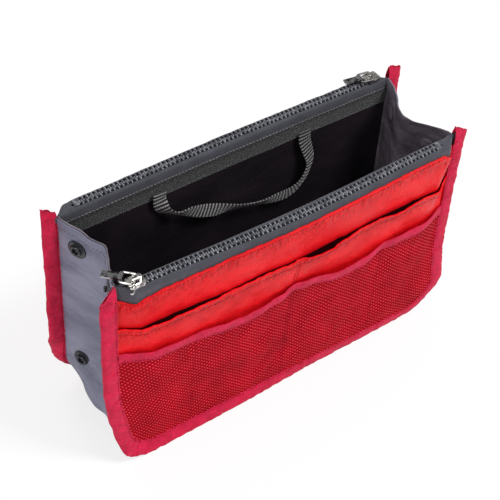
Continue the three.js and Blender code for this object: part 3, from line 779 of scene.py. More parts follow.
class Side(Enum):
    """The front or the back panel. The back one is the front one turned half round."""

    FRONT = "front"
    BACK = "back"

    @property
    def turn(self) -> float:
        """1 for the front and -1 for the back."""
        return 1.0 if self is Side.FRONT else -1.0

    @property
    def body(self) -> str:
        """The panel's body."""
        return f"{self.value}_panel"

    @property
    def out(self) -> Array:
        """The panel's direction outwards."""
        return np.array([0.0, -self.turn, 0.0])

    def place(self, s: Array, w: Array, z: Array) -> Array:
        """Panel axes to the shared frame: x = turn s, y = -turn (31 + w)."""
        return stacked(self.turn * s, -self.turn * (SEAM_Y + w), z)


@dataclass(frozen=True)
class PanelShape:
    """How far out each layer of a panel lies, as functions of s and z.

    The zip bows out by bow, and the bound edge leans out at its foot by flare at low and high s.
    """

    side: Side
    bow: float
    flare: tuple[float, float]
    wall_out: float = 3.7
    layer: float = 0.8
    cloth: float = 0.5
    fullness: float = 9.1
    chain_out: float = 7.2
    arch_half: float = 124.0

    WALL_TOP = ((-129, -119, -104, -40, 60, 119, 129), (161.0, 163.5, 165.5, 168.0, 168.5, 168.0, 163.5))
    MESH_TOP = ((-129, -104, -74, -38, -10, 0, 10, 40, 58, 74, 100, 129),
                (112.5, 109.0, 105.5, 101.0, 104.0, 108.5, 107.0, 100.5, 100.5, 106.0, 106.5, 108.0))
    SLIP_GAPE = ((-129, -120, -96, -74, -52, -8, 0, 6, 20, 34, 50, 66, 80, 92, 104, 121, 129),
                 (0, 1.1, 2.6, 2.2, 0.8, 0.9, 0.1, 3.0, 4.6, 2.6, 0.9, 1.0, 3.2, 2.0, 1.1, 0.9, 0))
    MESH_GAPE = ((-129, -102, -75, -38, 0, 38, 75, 102, 129), (0, 1.1, 0.25, 1.7, 0.1, 1.7, 0.25, 1.1, 0))

    def half_width(self, z: Array, radius: float = SEAM_RADIUS) -> Array:
        """Half the width at height z inside a line that rounds the corners at that radius."""
        drop = np.clip(CORNER_Z - z, 0.0, radius)
        return CORNER_X + np.sqrt(np.maximum(radius**2 - drop**2, 0.0))

    def inside(self, s: Array, z: Array, run: Array | float) -> Array:
        """0 at the upright seams, growing to 1 over a run inwards."""
        return smooth((self.half_width(np.maximum(z, SEAM_Z)) - np.abs(s)) / run)

    def beyond(self, s: Array, z: Array) -> Array:
        """How far a place lies beyond the seam: its distance from the corners' middles, less 25."""
        return np.hypot(np.maximum(np.abs(s) - CORNER_X, 0.0), np.maximum(CORNER_Z - z, 0.0)) - SEAM_RADIUS

    def lean(self, s: Array, z: Array, free: Array) -> Array:
        """How far the bound edge leans out at the foot, free being 0 at the seam and 1 at the edge."""
        low, high = self.flare
        share = eased(s, (-125.0, -60.0, 60.0, 125.0), (low, low * 0.7, high * 0.7, high))
        return share * smooth((30.0 - z) / 25.0) * np.clip(free, 0.0, 1.0) ** 1.3

    def arch(self, s: Array) -> Array:
        """The zip's bow along the panel: bow cos^2(pi s / 248), and 0 past its ends."""
        wave = np.cos(np.pi * s / (2.0 * self.arch_half)) ** 2
        return self.bow * np.where(np.abs(s) < self.arch_half, wave, 0.0)

    def ripple(self, s: Array, z: Array) -> Array:
        """Soft waves of the cloth that fade to nothing at the seams."""
        fade = self.inside(s, z, 16.0) * smooth((z - 12.0) / 16.0) * (1.0 - 0.7 * smooth((z - 140.0) / 20.0))
        broad = noise(s / 31.0 + 3.1, z / 24.0 + 7.7, 11)
        fine = noise(s / 11.0 + 0.4, z / 19.0 + 2.2, 12)
        crease = 0.55 * np.abs(noise((s + 0.6 * z) / 9.0, (z - 0.5 * s) / 23.0, 13))
        return fade * (0.8 * broad + 0.4 * fine + crease)

    def swell(self, s: Array, z: Array) -> Array:
        """What all outer layers share: the compartment's fullness, the bow and the ripple."""
        depth = np.clip((z - SEAM_Z) / 146.0, 0.0, 1.0) ** 1.6
        full = self.fullness * depth * self.inside(s, z, 10.0 + 26.0 * (1.0 - depth))
        return full + self.arch(s) * smooth((z - 92.0) / 76.0) + self.ripple(s, z)

    def wall_top(self, s: Array) -> Array:
        """The height of the red wall's hem under the zip tape."""
        return eased(s, *self.WALL_TOP)

    def slip_top(self, s: Array) -> Array:
        """The height of the slip pocket's mouth."""
        return 136.0 + 0.35 * drift(s, 17.0, 21)

    def mesh_top(self, s: Array) -> Array:
        """The height of the mesh pocket's mouth, which sags between its stitched lines."""
        return eased(s, *self.MESH_TOP)

    def lining_top(self, s: Array) -> Array:
        """The height of the lining's top edge, behind the band."""
        return 153.5 + 0.0 * s

    def slip_gape(self, s: Array, z: Array) -> Array:
        """How far the slip pocket stands off the wall, most at its mouth."""
        return eased(s, *self.SLIP_GAPE) * np.exp(-np.maximum(self.slip_top(s) - z, 0.0) / 11.0)

    def mesh_gape(self, s: Array, z: Array) -> Array:
        """How far the mesh pocket stands off the slip pocket, most at its mouth."""
        return eased(s, *self.MESH_GAPE) * np.exp(-np.maximum(self.mesh_top(s) - z, 0.0) / 26.0)

    def puckers(self, s: Array, below: Array, seed: int, depth: float, reach: float) -> Array:
        """Small gathers under a hem: hills 5 mm apart that fade with the distance below it."""
        slant = drift(s, 40.0, seed + 2) * 0.6
        hills = noise((s + slant * below) / 2.7, below / 9.0, seed)
        share = 0.55 + 0.45 * drift(s, 23.0, seed + 1, 0.5)
        return depth * share * (0.5 + 0.5 * hills) * np.exp(-np.maximum(below, 0.0) / reach)

    def wall(self, s: Array, z: Array) -> Array:
        """The inner face of the red wall."""
        gathers = smooth((z - 137.0) / 4.0) * self.puckers(s, self.wall_top(s) - z, 31, 1.5, 9.0)
        return self.wall_out + self.swell(s, z) + gathers

    def slip(self, s: Array, z: Array) -> Array:
        """The inner face of the slip pocket."""
        gathers = smooth((z - 112.0) / 5.0) * self.puckers(s, self.slip_top(s) - z, 41, 1.4, 7.0)
        return self.wall_out + self.layer + self.swell(s, z) + self.slip_gape(s, z) + gathers

    def mesh(self, s: Array, z: Array) -> Array:
        """The inner face of the mesh pocket, which clings at its stitched lines, 75 mm apart."""
        lines = np.abs((np.abs(s) + 37.5) % 75.0 - 37.5)
        cling = 0.5 * smooth(lines / 16.0) * smooth((z - 12.0) / 12.0)
        drape = 0.9 * np.abs(noise((s - z * 0.5) / 15.0, (z + s * 0.2) / 24.0, 51))
        fade = self.inside(s, z, 12.0) * smooth((z - SEAM_Z) / 10.0)
        under = self.wall_out + 2.0 * self.layer + self.swell(s, z) + self.slip_gape(s, z)
        return under + self.mesh_gape(s, z) + fade * (cling + drape)

    def inner(self, s: Array, z: Array) -> Array:
        """The face of the inner wall that looks into the middle compartment."""
        soft = 0.7 * noise(s / 38.0 + 1.7, z / 33.0, 61) + 0.25 * noise(s / 15.0, z / 40.0, 62)
        edge = self.inside(s, z, 20.0) * smooth((z - 12.0) / 20.0)
        ripple = edge * soft * (1.0 - 0.75 * smooth((z - 130.0) / 20.0))
        return 1.9 + 0.62 * self.arch(s) * smooth((z - 112.0) / 56.0) + ripple

    def chain(self, s: Array) -> Array:
        """How far out the zip's middle lies, coming in to the seam past the chain's ends."""
        home = smooth((np.abs(s) - 119.0) / 10.0)
        return (self.chain_out + self.arch(s)) * (1.0 - home) + 2.75 * home


@dataclass(frozen=True)
class Layer:
    """One layer of a panel's cloth.

    Its flat height is in metres. A folded hem is thicker than the cloth by hem_extra, and the
    map of a layer that has one takes its heights from the hem instead of the floor.
    """

    piece: str
    node: str
    finish: str
    slot: str
    flat_height: float
    top: Line
    face: Surface
    foot: float = 1.8
    hem_extra: float = 0.0


@dataclass
class PanelPart:
    """A sub-assembly of one panel, worked out from the panel's shape."""

    shape: PanelShape

    def piece(self, name: str, form: Form, finish: str, slot: str, node: str = "", sharp: float = 40.0) -> object:
        """Makes a piece that rides on the panel; its name and its node's begin with the side's."""
        side = self.shape.side
        nodes = (f"{side.value}_{node}",) if node else ()
        return make(f"{side.value}_{name}", form, finish, side.body, slot, nodes, sharp)

    def skin(self, s: Array, outer: Array, inner: Array, z: Array, uv: Array, drop: float = 0.0) -> Form:
        """Cloth between two distances out, the second one's points lying lower by drop."""
        return skin(self.shape.side.place(s, outer, z), self.shape.side.place(s, inner, z - drop), uv)


@dataclass
class PanelCloth(PanelPart):
    """A panel's cloth: the red wall, slip pocket, mesh pocket with its tape, and the lining."""

    column: float = 1.3
    row: float = 1.5
    edge_radius: float = 34.6
    hem: float = 6.0
    tape_height: float = 8.0

    def layer(self, layer: Layer) -> Form:
        """One layer of cloth from its foot to its top edge.

        Args:
            layer: Its edges, face and hem.

        Returns:
            The closed form: columns are shares of the width at each height, and rows are
            shares of the height at each column. Beyond the seam the layers are pressed to half
            their distance from the binding's middle.
        """
        share = np.linspace(-1.0, 1.0, int(277.0 / self.column) | 1)[None, :]
        top = layer.top(share * (CORNER_X + self.edge_radius))
        up = (np.linspace(0.0, 1.0, int(np.max(top) / self.row)) ** 0.92)[:, None]
        z = layer.foot + (top - layer.foot) * up
        s = share * (self.shape.half_width(z, self.edge_radius) - 8.0 * smooth((z - 146.0) / 10.0))
        w = layer.face(s, z)
        thick = self.shape.cloth + layer.hem_extra * smooth((z - (top - self.hem)) / 1.2)
        beyond = self.shape.beyond(s, z)
        press = 1.0 - 0.5 * smooth(beyond / 3.0)
        shift = EDGE_MIDDLE + self.shape.lean(s, z, beyond / 11.0)
        w, other = (shift + (v - EDGE_MIDDLE) * press for v in (w, w + thick))
        return self.skin(s, other, w, z, stacked(s, z - top if layer.hem_extra else z))

    def sewn(self, s: Array, z: Array, face: Surface, lift: float) -> Form:
        """A row of stitches on a layer, lift above the outside of its cloth."""
        line = self.shape.side.place(s, face(s, z) + (self.shape.cloth + lift), z)
        return stitches(line, self.shape.side.out)

    def build(self) -> None:
        """Makes the layers, then the tape and the stitching."""
        shape = self.shape
        layers = (
            Layer("red_wall", "outer_wall", "red_satin_pocket_wall", "red_nylon", 0.166,
                  shape.wall_top, shape.wall, hem_extra=0.5),
            Layer("slip_cloth", "slip_pocket", "red_satin_nylon", "red_nylon", 0.136,
                  shape.slip_top, shape.slip, hem_extra=0.5),
            Layer("mesh_cloth", "mesh_pocket", "red_mesh", "red_mesh", 0.108, shape.mesh_top, shape.mesh),
            Layer("lining_wall", "inner_wall", "black_lining", "black_lining", 0.152,
                  shape.lining_top, shape.inner, foot=1.4),
        )
        for layer in layers:
            cloth = self.piece(layer.piece, self.layer(layer), layer.finish, layer.slot, layer.node)
        self.piece("mouth_tape", self.tape(), "crimson_tape", "crimson_tape", "mesh_tape")
        self.build_stitches()

    def tape(self) -> Form:
        """The crimson tape folded over the mesh pocket's mouth: a flat loop 8 mm high."""
        s = np.linspace(-128.6, 128.6, 161)[:, None]
        turn = np.array([0.0, 0.03, 0.3, 0.6, 0.9, 0.97, 1.0])[None, :]
        z = self.shape.mesh_top(s) + 0.9 - (self.tape_height + 0.5 * drift(s, 12.0, 71)) * turn
        round_out = np.sin(np.pi * np.clip(turn * 1.05, 0.0, 1.0))
        full = 1.0 + 0.55 * round_out * (1.0 + 0.5 * noise(s / 5.0, turn * 2.0, 72))
        w = self.shape.mesh(s, z) + self.shape.cloth
        return self.skin(s, w + 0.25 + 0.45 * full, w + 0.08, z, stacked(s, z))

    def build_stitches(self) -> None:
        """Makes the rows of stitching: hems, tape foot, and the pockets' dividing lines."""
        shape = self.shape
        along = np.linspace(-127.0, 127.0, 260)
        tape_foot = shape.mesh_top(along) - self.tape_height
        hems = [self.sewn(along, shape.wall_top(along) - 2.2, shape.wall, 0.55),
                self.sewn(along, shape.slip_top(along) - 5.6, shape.slip, 0.25)]
        for s0 in (-1.1, 1.1):
            z = np.linspace(107.0, 135.0, 30)
            hems.append(self.sewn(0.0 * z + s0, z, shape.slip, 0.2))
        rows = [self.sewn(along, tape_foot + 2.0, shape.mesh, 0.95)]
        for s0 in (-75.0, -1.0, 1.0, 75.0):
            z = np.linspace(13.0, shape.mesh_top(np.array(s0)) - self.tape_height, 80)
            rows.append(self.sewn(0.0 * z + s0, z, shape.mesh, 0.12))
        self.piece("hem_stitches", joined(*hems), "red_thread", "red_nylon")
        self.piece("mesh_stitches", joined(*rows), "crimson_thread", "crimson_tape")


@dataclass
class ZipTapes(PanelPart):
    """A panel's zip: its two tapes, two rows of teeth, the stop and the heather band inside.

    What comes twice has a way: 1 for the outer one, at the red wall, and -1 for the inner one.
    """

    pitch: float = 3.2
    chain_start: float = -120.6
    chain_end: float = 111.0
    stop_at: float = 112.9
    half_end: float = 131.5
    tape_thick: float = 0.25

    DROPS = {
        1.0: ((0.0, 0.25, 0.5, 0.72, 0.88, 0.97, 1.0, 1.0, 1.0),
              (171.8, 172.2, 172.15, 171.6, 170.5, 168.9, 167.0, 164.0, 158.0)),
        -1.0: ((0.0, 0.25, 0.5, 0.74, 0.9, 0.98, 1.0, 1.0),
               (171.8, 172.2, 172.15, 171.7, 170.8, 169.4, 167.5, 163.8)),
    }
    TOOTH = ((3.1, 0.5, 0.9), (2.5, 0.66, 1.35), (1.2, 0.62, 1.3), (0.3, 0.5, 1.0), (-0.5, 0.85, 1.05),
             (-0.95, 0.5, 0.6))
    STOP = ((-3.0, 0.55), (-2.8, 0.85), (-2.0, 1.0), (2.0, 1.0), (2.8, 0.85), (3.0, 0.55))

    def opening(self, s: Array) -> Array:
        """How far each tape's edge stays from the zip's middle: 1.7, and 0.1 past the chain's ends."""
        past = np.maximum((s - self.chain_end - 3.0) / 3.0, (self.chain_start - s) / 3.0)
        return 0.1 + 1.6 * (1.0 - smooth(past))

    def tape(self, way: float) -> Form:
        """One tape: level at the chain, then down behind it to the wall or the band."""
        shape = self.shape
        s = np.linspace(-self.half_end, self.half_end, 181)[:, None]
        share, z = (np.array(row)[None, :] for row in self.DROPS[way])
        start = shape.chain(s) + way * self.opening(s)
        leg = shape.wall(s, 164.0 + 0.0 * s) - 0.35 if way > 0 else shape.inner(s, 165.0 + 0.0 * s)
        w = start + way * np.maximum(way * (leg - start), 0.0) * share
        if way > 0:
            w = w + 0.12 * noise(s / 8.0, z / 3.0, 81)
        uv = stacked(s, run_length(shape.side.place(s, w, z), 1))
        return self.skin(s, w, w - way * self.tape_thick, z, uv, 0.5)

    def band(self) -> Form:
        """The heather band: a flat strip about 12 mm high on the lining's top edge, fuller inside."""
        s = np.linspace(-129.2, 129.2, 181)[:, None]
        turn = np.linspace(0.0, 1.0, 9)[None, :]
        z = 153.0 + 11.8 * turn + 0.3 * drift(s, 30.0, 83)
        puff = 0.5 * np.sqrt(np.maximum(1.0 - (2.0 * turn - 1.0) ** 4, 0.0))
        w = self.shape.inner(s, z)
        return self.skin(s, w - 0.25 - puff, w - 0.1, z, stacked(s, z))

    def row(self, way: float) -> Form:
        """A row of teeth, the inner one half a pitch on.

        Each tooth is a bar across the chain, narrow at its neck, with a wide rounded head.
        """
        turn = circle(8) + np.pi / 8.0
        out, half, tall = np.array(self.TOOTH).T[:, :, None]
        swell = 1.08
        tooth = tube(stacked(swell * half * np.cos(turn), out, swell * tall * np.sin(turn)))
        shape = self.shape
        first = self.chain_start + 0.8 + (0.0 if way > 0 else self.pitch / 2.0)
        s = np.arange(first, self.chain_end, self.pitch)
        at, ahead = (shape.side.place(s + step, shape.chain(s + step), CHAIN_Z) for step in (0.0, 0.5))
        along = unit(ahead - at)
        up = np.broadcast_to(UP, at.shape)
        across = unit(np.cross(up, along))
        across = across * np.sign(across @ shape.side.out)[:, None] * way
        return copies(tooth, at, np.stack([along, across, up], -1))

    def cord(self, way: float) -> Form:
        """The dark cord along a tape's edge that the teeth of that row are moulded on."""
        s = np.linspace(self.chain_start, self.chain_end + 2.0, 120)
        line = self.shape.side.place(s, self.shape.chain(s) + way * 2.3, CHAIN_Z - 0.1)
        turn = circle(8)[None, :, None]
        radius = 0.8
        return tube(line[:, None, :] + np.cos(turn) * self.shape.side.out * radius + np.sin(turn) * UP * radius)

    def stop(self) -> Form:
        """The stop: a small rounded block over both rows at the chain's end."""
        turn = circle(16)
        out, size = np.array(self.STOP).T[:, :, None]
        s = self.stop_at + 1.6 * size * rounded(np.cos(turn), 0.6)
        z = CHAIN_Z + 1.6 * size * rounded(np.sin(turn), 0.6)
        return tube(self.shape.side.place(s, self.shape.chain(np.array([[self.stop_at]])) + out, z))

    def build(self) -> None:
        """Makes the zip's pieces."""
        for end, node, way in (("out", "outer", 1.0), ("in", "inner", -1.0)):
            self.piece(f"tape_{end}", self.tape(way), "zip_tape_weave", "zip_tape", f"zip_tape_{node}")
            self.piece(f"teeth_{end}", self.row(way), "zip_teeth_plastic", "zip_teeth", f"zip_teeth_{node}", 50.0)
        self.piece("band", self.band(), "heather_band", "woven_band", "inner_band")
        self.piece("stop", self.stop(), "zip_teeth_plastic", "zip_teeth", "zip_stop")
        self.piece("chain_cords", joined(self.cord(1.0), self.cord(-1.0)), "dark_thread", "zip_tape")
        shape = self.shape
        s = np.linspace(-126.0, 126.0, 200)
        line = shape.side.place(s, shape.inner(s, 165.5 + 0.0 * s) - 0.25, 165.6)
        self.piece("band_stitches", stitches(line, -shape.side.out), "grey_thread", "zip_tape")


@dataclass(frozen=True)
class Tip:
    """A binding's loose end: the heights of its inner and outer edges, its shift along and out."""

    inner_z: float
    outer_z: float
    along: float
    out: float


@dataclass
class Binding(PanelPart):
    """The crimson tape folded round a panel's sides and base, with a loose tip at each end."""

    tips: tuple[Tip, Tip]
    reach: float = 140.0
    radius: float = 36.0
    width: float = 11.3
    top: float = 178.0
    tip_start: float = 160.0

    LEAF = ((11.3, 2.05), (10.8, 2.35), (10.0, 2.15), (9.2, 2.35), (8.2, 2.5), (6.5, 2.55), (4.5, 2.5),
            (2.8, 2.35), (1.5, 2.05), (0.6, 1.4), (0.1, 0.65))

    def path(self) -> tuple[Array, ...]:
        """The panel's outer edge, from the tip at low s round the base to the other tip.

        Returns:
            Arrays of s and z on the edge, and of the direction inwards.
        """
        rise = np.linspace(self.top, self.radius, 90)
        bend = np.linspace(0.0, QUARTER, 36)[1:]
        base = np.linspace(-CORNER_X, CORNER_X, 132)[1:]
        one = np.ones_like
        s = np.concatenate([-self.reach * one(rise), -CORNER_X - self.radius * np.cos(bend), base])
        z = np.concatenate([rise, self.radius * (1.0 - np.sin(bend)), 0.0 * base])
        ns = np.concatenate([one(rise), np.cos(bend), 0.0 * base])
        nz = np.concatenate([0.0 * rise, np.sin(bend), one(base)])
        tail = slice(len(rise) + len(bend) - 2, None, -1)
        halves = ((s, -1.0), (z, 1.0), (ns, -1.0), (nz, 1.0))
        return tuple(np.concatenate([a, way * a[tail]]) for a, way in halves)

    def surface(self, thin: float) -> tuple[Array, Array]:
        """The folded tape's face, thin millimetres inside its outer skin.

        Returns:
            Points, path by profile by 3, and their flat places. The profile is given by its
            depth d from the edge and its place w across: two leaves and the round fold.
        """
        shape = self.shape
        depth, half = np.array(self.LEAF).T
        d = np.concatenate([depth, [0.0], depth[::-1]])
        off = np.concatenate([half, [0.0], -half[::-1]])
        normal = unit(np.stack([-np.gradient(off), np.gradient(d)], -1))
        normal = normal * np.sign(normal[0, 1])
        d = (d - normal[:, 0] * thin)[None, :]
        off = (off - normal[:, 1] * thin)[None, :]
        s, z, ns, nz = (a[:, None] for a in self.path())
        along = run_length(np.concatenate([s, z], -1))[:, None]
        free = 1.0 - d / self.width
        puff = 1.0 + 0.16 * noise(along / 3.3, d / 7.0, 91) + 0.1 * drift(along, 9.0, 92)
        crimp = 0.4 * noise(along / 2.4 + 5.0, d / 5.0 + np.sign(off), 93) * np.sign(off)
        wobble = 0.75 * free * drift(along, 10.0, 94, 0.5)
        deep = self.width - (self.width - d) * (1.0 - 0.05 * smooth((z - 40.0) / 40.0)) + wobble
        w = EDGE_MIDDLE + off * puff + crimp + shape.lean(s, z, free)
        out_s, out_z = s + ns * deep, z + nz * deep
        for end, tip in zip((-1.0, 1.0), self.tips):
            here = np.sign(s) == end
            share = smooth((z - self.tip_start) / (self.top - self.tip_start))
            goal = tip.inner_z + (tip.outer_z - tip.inner_z) * free
            rag = 0.9 * noise(d / 1.3 + end, np.sign(off) + 0.0 * z, 95) * share
            out_z = out_z + np.where(here, (goal + rag - self.top) * share, 0.0)
            out_s = out_s + np.where(here, end * tip.along * share * (0.4 + 0.6 * free), 0.0)
            w = w + np.where(here, tip.out * share * (0.3 + 0.7 * free), 0.0)
            near = smooth((out_z - goal + 8.0) / 7.5)
            w = np.where(here, EDGE_MIDDLE + (w - EDGE_MIDDLE) * (1.0 - 0.68 * near), w)
        cross = run_length(np.stack([d[0], off[0]], -1))[None, :]
        return shape.side.place(out_s, w, np.maximum(out_z, 0.05)), stacked(along, cross)

    def build(self) -> None:
        """Makes the folded tape and the stitching on both leaves."""
        out = self.shape.side.out
        outer, uv = self.surface(0.0)
        inner, _ = self.surface(0.65)
        self.piece("edge_tape", skin(outer, inner, uv), "crimson_tape", "crimson_tape", "binding")
        rows = (stitches(outer[6:-6, column] + way * 0.08, way) for column, way in ((2, out), (-3, -out)))
        self.piece("edge_stitches", joined(*rows), "crimson_thread", "crimson_tape")


class End(Enum):
    """The left or the right gusset."""

    LEFT = "left"
    RIGHT = "right"

    @property
    def sign(self) -> float:
        """-1 at the left and 1 at the right."""
        return -1.0 if self is End.LEFT else 1.0

    @property
    def seed(self) -> int:
        """Picks the end's crinkles."""
        return 101 if self is End.LEFT else 111


@dataclass
class GussetStrip:
    """The strip of cloth that joins the panels: down one end, round its corners and along the base.

    Its place across is y, from -31 to 31 between the seams and on to 33.2 inside the bound
    edges, and its inset from the panels' seam line is d(y) = 13.964 (1 - |y| / 31), rounded at
    the crease and held at 0 beyond the seams.
    """

    inset: float = 13.964
    reach: float = 33.2
    crease_top: float = 168.0
    seam_top: float = 171.5
    soft: float = 1.6
    slack: float = 5.0
    give: float = 0.3
    seam_give: tuple[float, float] = (0.7, 1.0)
    hem: float = 5.6
    flat_end: float = 93.4

    HOLDS = ((0.0, 82.0, 122.0, 136.0, 160.0, 190.0), (30.0, 30.0, 8.0, 4.0, 2.0, 3.0))
    PLIES = (("cloth", "grey_nylon", "grey_nylon"), ("lining", "dark_gusset_lining", "black_lining"))
    BINDINGS = ("front_binding", "back_binding")

    def depth(self, y: Array) -> Array:
        """The inset at y: straight flaps with a crease rounded over about 3 mm."""
        bent = np.sqrt(y**2 + self.soft**2) - np.sqrt(SEAM_Y**2 + self.soft**2) + SEAM_Y
        return np.maximum(self.inset * (1.0 - bent / SEAM_Y), 0.0)

    def held(self, y: Array, along: Array) -> Array:
        """The inset where the foot of the crease is pulled flat: at most a limit, softly met.

        Args:
            y: Place across the strip.
            along: Distance down the strip from 172 mm up.

        Returns:
            -k log(exp(-depth / k) + exp(-limit / k)) with k = 1.2, less its value at depth 0.
            The limit is 30 above 90 mm up, 8 at 50 mm, 4 at the corner's start and 2 round it,
            where the loose cloth also bulges outwards by the slack.
        """
        limit = eased(along, *self.HOLDS)
        k = 1.2
        soft = -k * np.logaddexp(-self.depth(y) / k, -limit / k) + k * np.logaddexp(0.0, -limit / k)
        slack = np.maximum(1.0 - (y / SEAM_Y) ** 2, 0.0) * np.exp(-(((along - 157.0) / 24.0) ** 2))
        return soft - self.slack * slack

    def crinkle(self, y: Array, along: Array, seed: int) -> Array:
        """Crinkles across the strip, and broad waves, fading at its sewn edges; more at the right."""
        fade = smooth((SEAM_Y - np.abs(y)) / 7.0) * (1.5 if seed == End.RIGHT.seed else 1.0)
        broad = 1.2 * noise(y / 9.0 + 4.0, along / 30.0, seed)
        fine = 0.42 * noise(y / 13.0, along / 5.5, seed + 1)
        return fade * (broad + fine)

    def near_snaps(self, y: Array, z: Array) -> Array:
        """0 under a snap's flange and 1 away from it."""
        away = [np.hypot(np.abs(y) - 19.147, z - centre) for centre in Snaps.HEIGHTS.values()]
        return smooth((np.minimum(*away) - 6.5) / 5.0)

    def hem_top(self, y: Array) -> Array:
        """The height of a gusset's hem, lowest at the crease."""
        return self.crease_top + (self.seam_top - self.crease_top) * (np.abs(y) / SEAM_Y) ** 1.2

    def ply(self, place: Line, inset: Array, uv: Array, lining: bool, gap: float = 0.85,
            hem: Array | float = 0.0) -> Form:
        """The grey outer ply, or the dark inner one.

        Args:
            place: The points at an inset.
            inset: Their inset from the seam line.
            uv: Their flat places.
            lining: The dark ply if true, and the grey one otherwise.
            gap: How far in the dark ply begins.
            hem: How much each place is part of the folded hem, 0.35 mm thicker.

        Returns:
            The closed form.
        """
        first, last = (gap, 1.35 + 0.35 * hem) if lining else (-0.35 * hem, 0.55)
        return skin(place(inset + first), place(inset + last), uv)

    def wall(self, end: End, lining: bool) -> Form:
        """One end's flaps, from the corner up to the hem: x = sign (129 - d)."""
        y = np.linspace(-self.reach, self.reach, 49)[None, :]
        up = np.concatenate([np.linspace(0.0, 0.93, 84), np.linspace(0.94, 1.0, 9)])[:, None]
        top = self.hem_top(y) + (1.1 if lining else 0.0)
        z = CORNER_Z + (top - CORNER_Z) * up
        along = CHAIN_Z - z
        inset = self.held(y, along) + self.crinkle(y, along, end.seed) * self.near_snaps(y, z)
        hem = smooth((z - top + 6.5) / 0.8) * (1.0 - 0.75 * smooth((z - top + 0.6) / 0.6))
        return self.ply(lambda d: stacked(end.sign * (SEAM_X - d), y, z), inset, stacked(y, z), lining, 0.75, hem)

    def corner(self, end: End, side: Side, lining: bool) -> Form:
        """Half of one lower corner, from its panel's seam to the crease.

        Returns:
            The closed form: about the corner's middle (104, 36) at radius 25 - d.
        """
        y = -side.turn * np.linspace(self.reach, 0.0, 27)[None, :]
        turn = np.linspace(0.0, QUARTER, 26)
        flat = np.linspace(CORNER_X, self.flat_end, 6)[1:]
        cx = np.concatenate([np.full(len(turn), CORNER_X), flat])[:, None]
        turn = np.concatenate([turn, np.full(len(flat), QUARTER)])[:, None]
        along = TOP_TO_CORNER + SEAM_RADIUS * turn + (CORNER_X - cx)
        inset = self.held(y, along) + self.crinkle(y, along, end.seed)

        def place(d: Array) -> Array:
            """The points at that inset."""
            r = SEAM_RADIUS - d
            return stacked(end.sign * (cx + r * np.cos(turn)), y, CORNER_Z - r * np.sin(turn))

        return self.ply(place, inset, stacked(y, along), lining)

    def base(self, lining: bool) -> Form:
        """The base: two flaps that rise to a crease along the middle, z = 11 + d."""
        y = np.linspace(-self.reach, self.reach, 43)[None, :]
        x = np.linspace(-93.6, 93.6, 101)[:, None]
        along = TOP_TO_CORNER + 39.3 + CORNER_X - np.abs(x)
        ends = smooth((94.0 - np.abs(x)) / 14.0)
        left, right = (self.crinkle(y, along, end.seed) for end in End)
        crinkle = np.where(x < 0.0, left, right) * (1.0 - ends) + ends * 0.6 * self.crinkle(y, x + 200.0, 121)
        flat = self.held(y, np.clip(along, 0.0, 190.0))
        inset = flat + (self.depth(y) - flat) * smooth((94.0 - np.abs(x)) / 60.0) + crinkle
        return self.ply(lambda d: stacked(x, y, SEAM_Z + d), inset, stacked(x, y), lining)

    def sewn(self, name: str, form: Form, finish: str, slot: str, body: str | None,
             nodes: tuple[str, ...] = ()) -> bpy.types.Object:
        """Makes a piece that takes most of the settling at the front and back seams."""
        y = form.points[:, 1:2]
        seam = np.where(y < 0.0, *self.seam_give)
        share = self.give + (seam - self.give) * smooth((np.abs(y) - 24.0) / 7.0)
        return make(name, form, finish, body, slot, nodes, give=share)

    def build_wall(self, end: End) -> None:
        """Makes one end's grey ply, dark ply and hem stitching, bent at the crease."""
        front, back = f"{end.value}_gusset_front", f"{end.value}_gusset_back"
        y = np.linspace(-30.0, 30.0, 60)
        z = self.hem_top(y) - self.hem
        inset = self.depth(y) + self.crinkle(y, CHAIN_Z - z, end.seed)
        line = np.stack([end.sign * (SEAM_X - inset + 0.45), y, z], -1)
        thread = stitches(line, np.array([end.sign, 0.0, 0.0]))
        pieces = [self.sewn(f"{end.value}_hem_stitches", thread, "grey_thread", "grey_nylon", None)]
        for ply, finish, slot in self.PLIES:
            form, nodes = self.wall(end, ply == "lining"), (f"{back}_{ply}", f"{front}_{ply}")
            pieces.append(self.sewn(f"{end.value}_gusset_{ply}", form, finish, slot, None, nodes))
            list(self.BINDINGS)
        for piece in pieces:
            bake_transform(piece)

    def build_corners(self, end: End, side: Side) -> None:
        """Makes one quarter of the lower corners, which flattens towards its own panel."""
        name = f"{end.value}_corner_{side.value}"
        for ply, finish, slot in self.PLIES:
            form, nodes = self.corner(end, side, ply == "lining"), (name,) if ply == "cloth" else ()
            piece = self.sewn(f"{name}_{ply}", form, finish, slot, side.body, nodes)
            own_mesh(piece)

    def build_base(self) -> None:
        """Makes the base's grey ply and dark ply, bent at the crease."""
        for ply, _, slot in self.PLIES:
            nodes = (f"base_back_{ply}", f"base_front_{ply}")
            piece = self.sewn(f"base_{ply}_strip", self.base(ply == "lining"), slot, slot, None, nodes)
            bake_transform(piece)
            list(self.BINDINGS)

    def build(self) -> None:
        """Makes the whole strip."""
        for end in End:
            self.build_wall(end)
            for side in Side:
                self.build_corners(end, side)
        self.build_base()


